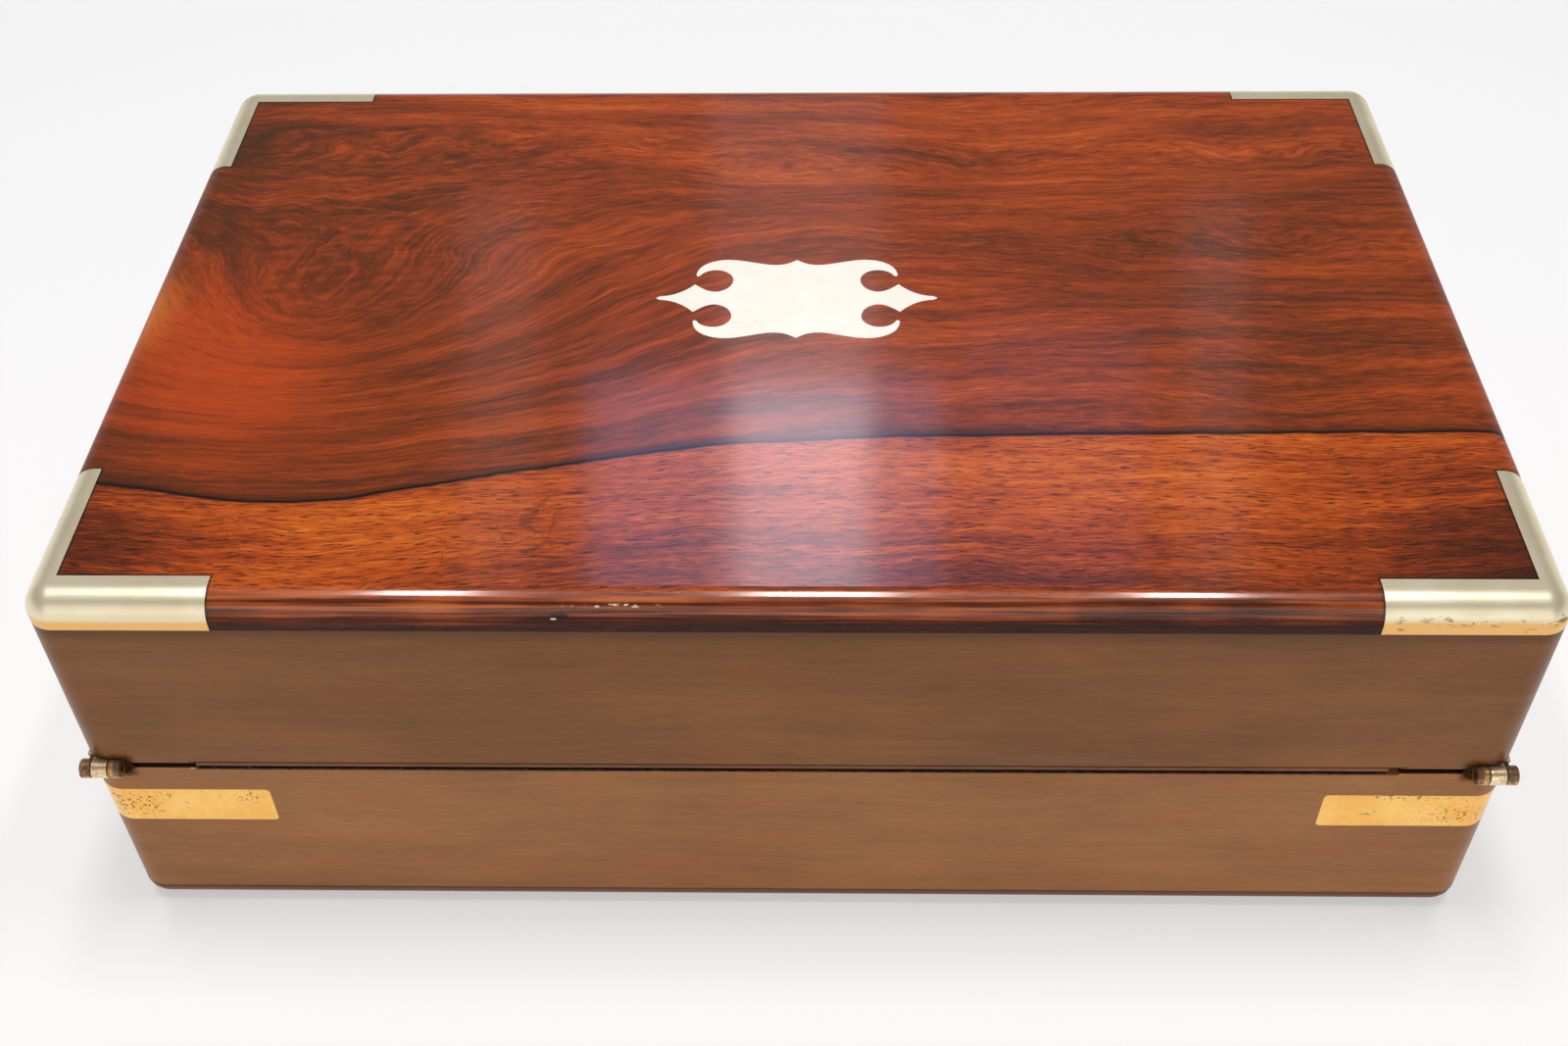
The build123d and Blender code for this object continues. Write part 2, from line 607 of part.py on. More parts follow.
# Two square glass wells with round brass caps.
well_x = IX - BAY / 2
well_y = (shelf_y + IY) / 2
well_top = shelf_top + WELL_H
well = Pos(well_x, well_y, (shelf_top + well_top) / 2) * Box(WELL, WELL, WELL_H)
well = fillet(well.edges().filter_by(Axis.Z), WELL_CORNER)
well = fillet(well.faces().sort_by(Axis.Z)[-1].edges(), WELL_SHOULDER)
at_well = Pos(well_x, well_y, 0)
up = (Align.CENTER, Align.CENTER, Align.MIN)
well = well + at_well * Pos(0, 0, well_top - 0.1) * Cylinder(NECK_R, NECK_H + 0.1, align=up)
bore_h = WELL_H - WELL_FLOOR - WELL_TOP
ink_room = at_well * Pos(0, 0, shelf_top + WELL_FLOOR) * Cylinder(WELL_BORE_R, bore_h, align=up)
mouth_z = shelf_top + WELL_FLOOR + bore_h - 1
ink_room = ink_room + at_well * Pos(0, 0, mouth_z) * Cylinder(NECK_BORE_R, 20, align=up)
well = well - ink_room
parts["right_inkwell_glass"] = well
parts["left_inkwell_glass"] = mirrored(well)
cap_z = well_top + CAP_LIFT
cap = at_well * Pos(0, 0, cap_z) * Cylinder(CAP_R, CAP_H, align=up)
cap = fillet(cap.faces().sort_by(Axis.Z)[-1].edges(), CAP_ROUND)
cap = cap - at_well * Pos(0, 0, cap_z - 0.2) * Cylinder(CAP_R - CAP_WALL, CAP_HOLLOW + 0.2, align=up)
cap = cap + at_well * Pos(0, 0, cap_z + CAP_H - 0.2) * Cylinder(KNOB_R, KNOB_H + 0.2, align=up)
parts["right_inkwell_cap"] = cap
parts["left_inkwell_cap"] = mirrored(cap)

# ================================================================ lid boards
top = outer & block(-BIG, BIG, -BIG, BIG, HEIGHT - TOP_BOARD, BIG)
mounts = [mount, mirrored(mount), mount_back, mirrored(mount_back)]
parts["lid_top_board"] = cut_all(top, mounts + [name_plate])

lowered = rim_block(-FLAP_X, FLAP_X, -5, lip_s, -1, STRIP + STRIP_GROOVE)
lid_hinge_wall = lid_shell & plan_prism(hinge_plan)
lid_hinge_wall = cut_all(lid_hinge_wall, [lowered, lid_hinge_room, mirrored(lid_hinge_room)])
lid_lock_wall = cut_all(lid_shell & plan_prism(lock_plan), [link] + link_blanks)
lid_right_wall = (lid_shell & plan_prism(right_plan)) - lid_hinge_room
parts["lid_hinge_wall"] = lid_hinge_wall
parts["lid_lock_wall"] = lid_lock_wall
parts["lid_right_wall"] = lid_right_wall
parts["lid_left_wall"] = mirrored(lid_right_wall)

# ================================================================ lid rails, flap and leather
lid_flap_t = RIM_GAP + FLAP_T
lid_ledge_t = lid_flap_t + LEDGE_T
lid_rail = rim_block(FLAP_X, IX, 0, BIG, RIM_GAP, lid_flap_t)
lid_rail = lid_rail + rim_block(FLAP_X - LEDGE, IX, 0, BIG, lid_flap_t, lid_ledge_t)
lid_pivot = RIM * x_rod(
    PIVOT_R, FLAP_X - PIVOT_FLAP, FLAP_X + PIVOT_RAIL, pivot_s, RIM_GAP + PIVOT_DOWN
)
lid_rail = (lid_rail & interior) - lid_pivot
parts["lid_right_rail"] = lid_rail
parts["lid_left_rail"] = mirrored(lid_rail)
parts["lid_flap_pins"] = group([lid_pivot, mirrored(lid_pivot)])

rail_y = IY - LID_RAIL
lock_rail = rim_block(-FLAP_X, FLAP_X, 0, BIG, RIM_GAP, lid_flap_t)
lock_rail = lock_rail & block(-IX, IX, rail_y, IY, 0, HEIGHT - TOP_BOARD)
lock_ledge = rim_block(-ledge_x, ledge_x, 0, BIG, lid_flap_t, lid_ledge_t)
lock_ledge = lock_ledge & block(-IX, IX, rail_y - LEDGE, IY, 0, HEIGHT - TOP_BOARD)
lock_rail = lock_rail + lock_ledge

lid_flap = rim_block(-FLAP_X + FIT, FLAP_X - FIT, 0, BIG, RIM_GAP, lid_flap_t)
lid_flap = lid_flap & block(-IX, IX, -IY + FIT, rail_y - FIT, 0, HEIGHT - TOP_BOARD)
lip = rim_block(-FLAP_X + FIT, FLAP_X - STRIP_NOTCH, 0, lip_s, RIM_GAP, STRIP)
bead_s = up_slope(-HY) + BEAD
lip = lip + rim_block(-FLAP_X + FIT, FLAP_X - STRIP_NOTCH, 0, bead_s, 0, STRIP)
lip = lip & block(-IX, IX, -HY, 0, 0, HEIGHT)
lid_leather = rim_block(-inlay_x, inlay_x, 0, BIG, RIM_GAP, RIM_GAP + LEATHER_T)
lid_leather = lid_leather & block(
    -IX, IX, -IY + LEATHER_MARGIN, rail_y - LEATHER_MARGIN, 0, HEIGHT
)
parts["lid_flap_leather"] = lid_leather

# Flush sliding catch that holds the lid's flap.
catch_s = up_slope(rail_y)
catch_face = RIM_GAP - 0.1
catch_back = catch_face + CATCH_T
bolt_low = catch_back + CATCH_CLEAR
bolt_high = bolt_low + CATCH_BOLT_T
way_x = CATCH_BOLT_HALF + CATCH_CLEAR
way_t = bolt_high + CATCH_CLEAR
plate_room = rim_block(
    -CATCH_HALF, CATCH_HALF, catch_s + CATCH_START, catch_s + CATCH_BACK, catch_face, catch_back
)
way_end = catch_s + CATCH_BOLT_BACK + CATCH_TRAVEL + 1
bolt_way = rim_block(-way_x, way_x, catch_s - 2, way_end, catch_back, way_t)
thumb_x = THUMB_HALF + CATCH_CLEAR
thumb_s0 = catch_s + THUMB_AT
thumb_s1 = thumb_s0 + THUMB_L
thumb_slot = rim_block(
    -thumb_x, thumb_x, thumb_s0 - 1, thumb_s1 + CATCH_TRAVEL + 0.5, catch_face - 1, catch_back
)
catch_bolt = rim_block(
    -CATCH_BOLT_HALF, CATCH_BOLT_HALF, catch_s - CATCH_BOLT_IN, catch_s + CATCH_BOLT_BACK,
    bolt_low, bolt_high
)
thumb = rim_block(-THUMB_HALF, THUMB_HALF, thumb_s0, thumb_s1, RIM_GAP + 0.1, bolt_low + 0.5)
parts["flap_catch_plate"] = plate_room - thumb_slot
parts["flap_catch_bolt"] = catch_bolt + thumb
mortise = rim_block(-way_x, way_x, catch_s - CATCH_BOLT_IN - 0.6, catch_s + 1, catch_back, way_t)
lid_flap = cut_all(lid_flap + lip, [lid_leather, lid_pivot, mirrored(lid_pivot), mortise])
parts["lid_flap_board"] = lid_flap
parts["lid_lock_rail"] = cut_all(lock_rail, [plate_room, bolt_way])

os.makedirs("parts", exist_ok=True)
for name, shape in parts.items():
    piece = one(shape)
    piece.label = name
    export_step(piece, f"parts/{name}.step")
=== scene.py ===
import math

import bpy
from bpy.props import FloatProperty, FloatVectorProperty, PointerProperty
from mathutils import Matrix, Vector


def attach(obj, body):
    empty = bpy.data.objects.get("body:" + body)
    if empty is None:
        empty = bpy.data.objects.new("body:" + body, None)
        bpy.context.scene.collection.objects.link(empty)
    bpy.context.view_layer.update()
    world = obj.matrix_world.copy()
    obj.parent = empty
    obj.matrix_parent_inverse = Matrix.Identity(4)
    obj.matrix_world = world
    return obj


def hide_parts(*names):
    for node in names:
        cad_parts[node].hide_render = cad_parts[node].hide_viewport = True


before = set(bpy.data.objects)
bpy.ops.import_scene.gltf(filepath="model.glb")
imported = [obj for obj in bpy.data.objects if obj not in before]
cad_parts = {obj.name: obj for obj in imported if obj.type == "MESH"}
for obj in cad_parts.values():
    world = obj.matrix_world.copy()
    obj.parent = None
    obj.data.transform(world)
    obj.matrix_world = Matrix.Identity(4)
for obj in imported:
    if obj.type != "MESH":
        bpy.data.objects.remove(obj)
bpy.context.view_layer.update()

bl_info = {
    "name": "Writing Box",
    "version": (1, 0, 0),
    "blender": (4, 5, 0),
    "location": "View3D > Sidebar > Writing Box",
    "description": "Dresses a brass-bound rosewood writing box: woods, brass, leather, glass and a studio",
    "category": "Object",
}

MM = 0.001

# The closed box, in mm from the middle of its underside. The hinge side is -y.
HALF_X, HALF_Y, TOP = 203.0, 128.0, 135.0
LID_BOARD_LOW = 125.2
FOOT_LINE = 7.4
# The joint: its slope, the axis of the hinges, their middle barrels and the ends of the strip.
SLOPE = math.radians(8.3)
HINGE_Y, HINGE_Z = -129.0, 67.5
MIDDLE_BARREL_X = 194.2
STRIP_END_X = 173.0


# ------------------------------------------------------------------ shader maths
class Value:
    """A number travelling through a material, so that its maths reads as arithmetic."""

    def __init__(self, finish, socket):
        self.finish = finish
        self.socket = socket

    def _with(self, operation, other, swap=False):
        first, second = (other, self) if swap else (self, other)
        return self.finish.math(operation, first, second)

    def __add__(self, other):
        return self._with("ADD", other)

    __radd__ = __add__

    def __sub__(self, other):
        return self._with("SUBTRACT", other)

    def __rsub__(self, other):
        return self._with("SUBTRACT", other, True)

    def __mul__(self, other):
        return self._with("MULTIPLY", other)

    __rmul__ = __mul__

    def __truediv__(self, other):
        return self._with("DIVIDE", other)

    def __rtruediv__(self, other):
        return self._with("DIVIDE", other, True)

    def __neg__(self):
        return self._with("MULTIPLY", -1.0)


class Finish:
    """One material, or the studio's sky, built node by node."""

    def __init__(self, name, owner=None, coordinates="Object"):
        self.owner = owner or bpy.data.materials.new(name)
        self.owner.use_nodes = True
        self.nodes = self.owner.node_tree.nodes
        self.links = self.owner.node_tree.links
        self.nodes.clear()
        point = self.node("ShaderNodeTexCoord", out=coordinates)
        # The place of a point in mm, whole and by axis.
        self.place = self.node(
            "ShaderNodeVectorMath", {"operation": "SCALE"}, {0: point, "Scale": 1.0 / MM}
        )
        parts = self.node("ShaderNodeSeparateXYZ", None, {0: self.place}).socket.node
        self.x, self.y, self.z = (Value(self, socket) for socket in parts.outputs)

    def node(self, kind, settings=None, inputs=None, out=0):
        """Add a node: its settings first, then the values or links of its sockets."""
        made = self.nodes.new(kind)
        for key, value in (settings or {}).items():
            if key == "stops":
                self._stops(made.color_ramp, value)
            elif key == "curve":
                self._curve(made.mapping, value)
            else:
                setattr(made, key, value)
        for key, value in (inputs or {}).items():
            self._fill(made.inputs[key], value)
        return Value(self, made.outputs[out]) if len(made.outputs) else None

    def _fill(self, socket, value):
        if isinstance(value, Value):
            self.links.new(value.socket, socket)
        elif isinstance(value, tuple) and len(value) < len(socket.default_value):
            socket.default_value = (*value, 1.0)
        else:
            socket.default_value = value

    @staticmethod
    def _stops(ramp, stops):
        while len(ramp.elements) < len(stops):
            ramp.elements.new(0.5)
        for element, (place, colour) in zip(ramp.elements, stops):
            element.position = place
            element.color = (*colour, 1.0)

    @staticmethod
    def _curve(mapping, points):
        line = mapping.curves[0]
        while len(line.points) < len(points):
            line.points.new(0.5, 0.5)
        for spot, (across, height) in zip(line.points, points):
            spot.location = (across, height)
        mapping.update()

    def math(self, operation, first, second=0.0):
        return self.node("ShaderNodeMath", {"operation": operation}, {0: first, 1: second})

    def clamp(self, value):
        return self.node("ShaderNodeMath", {"operation": "ADD", "use_clamp": True}, {0: value, 1: 0.0})

    def step(self, value, low, high):
        """0 below low, 1 above high, smooth between."""
        return self.node(
            "ShaderNodeMapRange",
            {"interpolation_type": "SMOOTHSTEP"},
            {"Value": value, "From Min": low, "From Max": high},
        )

    def band(self, value, middle, wide):
        """A soft stripe, 1 at its middle."""
        off = (value - middle) / wide
        return self.math("EXPONENT", -(off * off))

    def blob(self, x, y, wide, deep, side=False):
        """A soft spot seen from above, or from the side as x and z, 1 at its middle."""
        across = (self.x - x) / wide
        along = ((self.z if side else self.y) - y) / deep
        return self.math("EXPONENT", -(across * across + along * along))

    def spots(self, table, side=False):
        """The sum of soft spots, each as x, y, half width, half depth and strength."""
        total = 0.0
        for x, y, wide, deep, strength in table:
            total = self.blob(x, y, wide, deep, side) * strength + total
        return total

    def vector(self, x, y, z=0.0):
        return self.node("ShaderNodeCombineXYZ", None, {0: x, 1: y, 2: z})

    def noise(self, at, scale=1.0, detail=3.0, rough=0.5):
        inputs = {"Vector": at, "Scale": scale, "Detail": detail, "Roughness": rough}
        return self.node("ShaderNodeTexNoise", None, inputs)

    def cells(self, at, scale):
        """Distance to the border of the nearest cell of a random net."""
        settings = {"feature": "DISTANCE_TO_EDGE"}
        return self.node("ShaderNodeTexVoronoi", settings, {"Vector": at, "Scale": scale})

    def ramp(self, value, stops):
        return self.node("ShaderNodeValToRGB", {"stops": stops}, {0: value})

    def mix(self, factor, first, second):
        """Mix two colours."""
        return self.node("ShaderNodeMix", {"data_type": "RGBA"}, {0: factor, 6: first, 7: second}, out=2)

    def bump(self, height, depth):
        """Raise and sink the surface, depth in mm."""
        inputs = {"Height": height, "Distance": depth * MM, "Strength": 1.0}
        return self.node("ShaderNodeBump", None, inputs)

    def shader(self, **sockets):
        """The surface shader. Underscores in the sockets' names stand for spaces."""
        inputs = {key.replace("_", " "): value for key, value in sockets.items()}
        return self.node("ShaderNodeBsdfPrincipled", None, inputs)

    def close(self, shader, output="ShaderNodeOutputMaterial"):
        """End the node tree and hand back what it belongs to."""
        self.node(output, None, {"Surface": shader})
        return self.owner

    def surface(self, **sockets):
        """Close the material with its surface shader."""
        return self.close(self.shader(**sockets))


def linear(red, green, blue):
    """A colour as the eye reads it, 0 to 255, as the shader wants it."""
    def one(channel):
        channel /= 255.0
        return channel / 12.92 if channel <= 0.04045 else ((channel + 0.055) / 1.055) ** 2.4
    return (one(red), one(green), one(blue))


def from_hinge(f):
    """Distance from the hinge axis, mm."""
    back, up = f.y - HINGE_Y, f.z - HINGE_Z
    return f.math("SQRT", back * back + up * up)


def up_the_slope(f):
    """Distance from the hinge axis along the joint, mm."""
    return (f.y - HINGE_Y) * math.cos(SLOPE) + (f.z - HINGE_Z) * math.sin(SLOPE)


def off_the_joint(f):
    """Height off the joint plane of the shut box, mm."""
    return (f.z - HINGE_Z) * math.cos(SLOPE) - (f.y - HINGE_Y) * math.sin(SLOPE)


# ------------------------------------------------------------------ woods
def streaks(finish, along, across):
    """Wood texture: along runs with the grain and across counts the rings, in mm."""
    bands = finish.noise(finish.vector(along * 0.009, across * 0.085), 1.0, 3.0, 0.55)
    lines = finish.noise(finish.vector(along * 0.030, across * 0.42, 3.7), 1.0, 3.0, 0.6)
    hairs = finish.noise(finish.vector(along * 0.140, across * 1.60, 9.1), 1.0, 3.0, 0.62)
    pores = finish.noise(finish.vector(along * 0.23, across * 2.4, 5.3), 1.0, 1.0, 0.4)
    return bands - 0.5, lines - 0.5, hairs - 0.5, pores


# The dark line across the lid: x as a share of the length, y as a share of the line's rise.
BOUNDARY = [
    (0.0, 0.475), (0.023, 0.457), (0.066, 0.412), (0.129, 0.342), (0.175, 0.345), (0.227, 0.412),
    (0.292, 0.522), (0.358, 0.618), (0.425, 0.710), (0.528, 0.777), (0.631, 0.802), (0.768, 0.820),
    (0.904, 0.827), (1.0, 0.837),
]
LINE_RISE, LINE_LOW = 60.0, -110.0

# Lighter and darker places in the wood: x, y, half width, half depth in mm, and strength.
TONES_BEHIND = (
    (-150.0, 60.0, 50.0, 60.0, -0.07), (20.0, 110.0, 190.0, 30.0, 0.09),
    (108.0, 22.0, 32.0, 9.0, -0.12), (145.0, 2.0, 36.0, 11.0, -0.13),
    (-196.0, 0.0, 18.0, 140.0, -0.12), (180.0, -20.0, 30.0, 60.0, 0.02),
    (-135.0, -4.0, 34.0, 42.0, -0.07), (126.0, 47.0, 44.0, 11.0, -0.07),
    (-150.0, -70.0, 60.0, 22.0, -0.05), (-188.0, 92.0, 26.0, 34.0, -0.06),
)
TONES_IN_FRONT = (
    (-112.0, -103.0, 30.0, 13.0, 0.12), (70.0, -76.0, 100.0, 15.0, 0.10),
    (196.0, -108.0, 50.0, 34.0, -0.26), (-196.0, -104.0, 30.0, 30.0, -0.20),
    (60.0, -117.0, 130.0, 11.0, -0.12), (-10.0, -98.0, 60.0, 16.0, -0.07),
)
GLOWS = ((-188.0, -14.0, 30.0, 34.0, 0.9), (-162.0, -44.0, 27.0, 26.0, 1.0))
CRAZED = (
    (-148.0, -99.0, 8.0, 15.0, 1.0), (-98.0, -101.0, 10.0, 15.0, 1.0),
    (-72.0, -98.0, 12.0, 13.0, 1.0),
)

# The bruise and the chips on the front edge, mm.
BRUISE_X, BRUISE_Z = -60.5, 130.7
CHIPS_X, CHIPS_Z = -46.0, 132.9

# Where the corner mounts meet the lid's wood, in mm from the middle.
MOUNT_END_X, MOUNT_END_Y = 153.0, 76.0
MOUNT_INNER_X, MOUNT_INNER_Y = 194.0, 117.4


def knot_wood(f, past, behind, drift, wobble):
    """Behind the line: level rings bent by the knot and by long pointed ridges."""
    rings = f.y + f.blob(-150.0, -20.0, 96.0, 62.0) * 74.0
    rings = rings + f.step(f.x, 42.0, 120.0) * f.band(f.y - drift * 20.0, 22.0, 17.0) * 13.0
    rings = rings + f.step(f.x, -66.0, 10.0) * f.band(f.y - f.x * 0.05, 66.0, 13.0) * 10.0
    rings = rings - f.step(f.x, 60.0, -110.0) * f.band(f.y, 102.0, 16.0) * 12.0
    rings = rings + drift * 20.0 + wobble * 4.0 + f.z * 0.8
    sway = f.x - f.y * 0.5
    bands, lines, hairs, pores = streaks(f, sway, rings)
    knot = f.blob(-130.0, 16.0, 46.0, 54.0)
    tone = 0.51 + bands * (0.66 - knot * 0.30) + lines * (0.44 - knot * 0.26) + hairs * (0.60 - knot * 0.15)
    flame = f.noise(f.vector(f.x * 0.10, (f.y - f.x * 0.12) * 0.34, 8.0), 1.0, 3.0, 0.6) - 0.5
    tone = tone + flame * f.blob(-142.0, 40.0, 66.0, 84.0) * 0.55 + f.spots(TONES_BEHIND)
    tone = tone - f.math("EXPONENT", past * -0.16) * behind * 0.13
    colour = f.ramp(f.clamp(tone), [
        (0.22, linear(74, 38, 12)), (0.38, linear(104, 45, 11)), (0.51, linear(141, 57, 14)),
        (0.64, linear(168, 70, 19)), (0.84, linear(208, 102, 36)),
    ])
    veins = f.noise(f.vector(sway * 0.022, rings * 0.24, 1.3), 1.0, 2.0, 0.55) - 0.5
    veins = f.step(f.math("ABSOLUTE", veins), 0.022, 0.004) * f.clamp(0.75 + hairs * 3.0 + flame * 2.0)
    colour = f.mix(f.clamp(veins) * 0.42, colour, linear(58, 24, 10))
    glow = f.clamp(f.spots(GLOWS) * (0.9 + lines * 1.5 + bands * 1.2 + hairs * 0.5))
    colour = f.mix(glow * 0.66, colour, linear(188, 68, 18))
    colour = f.mix(f.blob(-199.0, -4.0, 7.0, 17.0) * 0.6, colour, linear(206, 116, 44))
    return colour, hairs, pores


def striped_wood(f, line, drift, wobble):
    """In front of the line: level grain that follows it, with short dark pores."""
    level = f.y - line * 26.0 + drift * 9.0 + wobble * 3.0 + f.z * 0.8
    bands, lines, hairs, pores = streaks(f, f.x, level * 1.15)
    tone = 0.55 + bands * 0.45 + lines * 0.42 + hairs * 0.60 + f.spots(TONES_IN_FRONT)
    colour = f.ramp(f.clamp(tone), [
        (0.20, linear(60, 26, 9)), (0.38, linear(114, 44, 11)), (0.52, linear(164, 67, 16)),
        (0.66, linear(196, 92, 24)), (0.86, linear(230, 132, 46)),
    ])
    return colour, pores


def round_edges(f, colour):
    """The rounded edges cut across the rings: strong dark and orange streaks, painted lighter towards the
    top of the rounding and darker down its lower half.
    """
    edge = f.step(f.math("ABSOLUTE", f.y), HALF_Y - 6.8, HALF_Y - 3.8)
    cut_and_shade = f.noise(f.vector(f.x * 0.014, (f.z * 1.2 + f.y * 0.5) * 0.62, 2.0), 1.0, 4.0, 0.62)
    cut_and_shade = cut_and_shade + (f.noise(f.vector(f.x * 0.04, 0.0, 6.0), 1.0, 2.0, 0.5) - 0.5) * 0.30
    # Painted light and shade: the cut grows lighter towards the top of the rounding and darker down its
    # lower half.
    cut_and_shade = cut_and_shade + (f.z - (TOP - 4.1)) * 0.030 + f.band(f.x, -120.0, 60.0) * 0.03
    cut_and_shade = cut_and_shade - f.step(f.z, TOP - 5.4, TOP - 9.0) * 0.10
    cut_colour = f.ramp(cut_and_shade, [
        (0.36, linear(22, 10, 7)), (0.48, linear(68, 29, 14)),
        (0.58, linear(128, 58, 24)), (0.72, linear(182, 94, 40)),
    ])
    colour = f.mix(edge * 0.9, colour, cut_colour)
    left_end = f.step(-f.x, HALF_X - 3.5, HALF_X - 1.0)
    return f.mix(left_end * 0.6, colour, linear(176, 104, 40))


def mount_seams(f, colour):
    """Old glue and dirt show as a thin dark line round the corner mounts."""
    plan_x, plan_y = f.math("ABSOLUTE", f.x), f.math("ABSOLUTE", f.y)
    long_arm = f.math("MAXIMUM", MOUNT_END_X - plan_x, MOUNT_INNER_Y - plan_y)
    short_arm = f.math("MAXIMUM", MOUNT_INNER_X - plan_x, MOUNT_END_Y - plan_y)
    seam = f.step(f.math("MINIMUM", long_arm, short_arm), 0.80, 0.30)
    return f.mix(seam * 0.8, colour, linear(30, 14, 9))


def age_cracks(f, drift, wobble):
    """Fine cracks in the polish in front."""
    across, deep = f.x * 1.5 + wobble * 40.0, f.y - f.x * 0.4 + drift * 60.0
    cells = f.cells(f.vector(across, deep), 0.034)
    return f.step(cells, 0.012, 0.003) * f.step(f.spots(CRAZED), 0.25, 0.55)


def edge_damage(f, colour):
    """A bruise and small pale chips on the front edge."""
    front = f.step(-f.y, HALF_Y - 9.0, HALF_Y - 7.0)
    across, above = f.x - BRUISE_X, f.z - BRUISE_Z
    bruise = f.math("EXPONENT", -(across * across * 0.10 + above * above * 0.9))
    colour = f.mix(f.step(bruise, 0.35, 0.75) * front * 0.9, colour, linear(34, 12, 8))
    across, above = across + 1.4, above + 0.9
    crescent = f.math("EXPONENT", -(across * across * 0.9 + above * above * 9.0))
    chip = f.step(f.noise(f.vector(f.x * 0.6, f.y, f.z), 1.1, 2.0, 0.5), 0.54, 0.60)
    chip = chip * f.step(f.math("ABSOLUTE", f.z - CHIPS_Z), 0.45, 0.20) * f.band(f.x, CHIPS_X, 8.0)
    chip = f.clamp((chip + f.step(crescent, 0.4, 0.7)) * front)
    return f.mix(chip, colour, linear(226, 214, 200)), chip


def figured_rosewood(settings):
    """The lid's top: grain flowing round a knot, a dark line across, plainer wood in front."""
    f = Finish("figured rosewood")
    drift = f.noise(f.place, 0.012, 2.0, 0.5) - 0.5
    wobble = f.noise(f.place, 0.055, 3.0, 0.55) - 0.5
    share = (f.x + HALF_X) / (2.0 * HALF_X)
    line = f.node("ShaderNodeFloatCurve", {"curve": BOUNDARY}, {"Value": share})
    past = f.y - (line * LINE_RISE + LINE_LOW) + wobble * 1.8
    behind = f.step(past, -0.2, 0.2)

    knot_colour, hairs, knot_pores = knot_wood(f, past, behind, drift, wobble)
    front_colour, front_pores = striped_wood(f, line, drift, wobble)
    colour = f.mix(behind, front_colour, knot_colour)
    pore = f.step(knot_pores * behind + front_pores * (1.0 - behind), 0.585, 0.655)
    colour = f.mix(pore * (0.78 - behind * 0.50), colour, linear(44, 18, 8))
    dark = f.band(past, 0.45, 0.65) * 0.9 + behind * f.step(past, 5.5, 0.0) * 0.50
    colour = f.mix(f.clamp(dark), colour, linear(30, 13, 7))
    colour = mount_seams(f, round_edges(f, colour))
    crack = age_cracks(f, drift, wobble)
    colour = f.mix(crack * 0.36, colour, linear(44, 16, 10))
    colour, chip = edge_damage(f, colour)

    # The polish is worn off the lower half of the rounding and off the ends.
    worn = f.step(f.z, TOP - 2.6, TOP - 5.5) * 0.8
    worn = worn + f.step(f.math("ABSOLUTE", f.x), HALF_X - 6.5, HALF_X - 3.5)
    waves = f.noise(f.place, 0.03, 2.0, 0.5) * 0.7 + hairs * 0.03 - crack * 0.03 - pore * 0.01
    return f.surface(
        Base_Color=colour,
        Roughness=f.clamp(0.34 + hairs * 0.2 + chip * 0.3),
        Normal=f.bump(waves, 0.18),
        Coat_Weight=f.clamp((1.0 - worn) * settings.polish),
        Coat_Roughness=0.10,
        Coat_IOR=1.5,
        Specular_IOR_Level=0.06,
    )


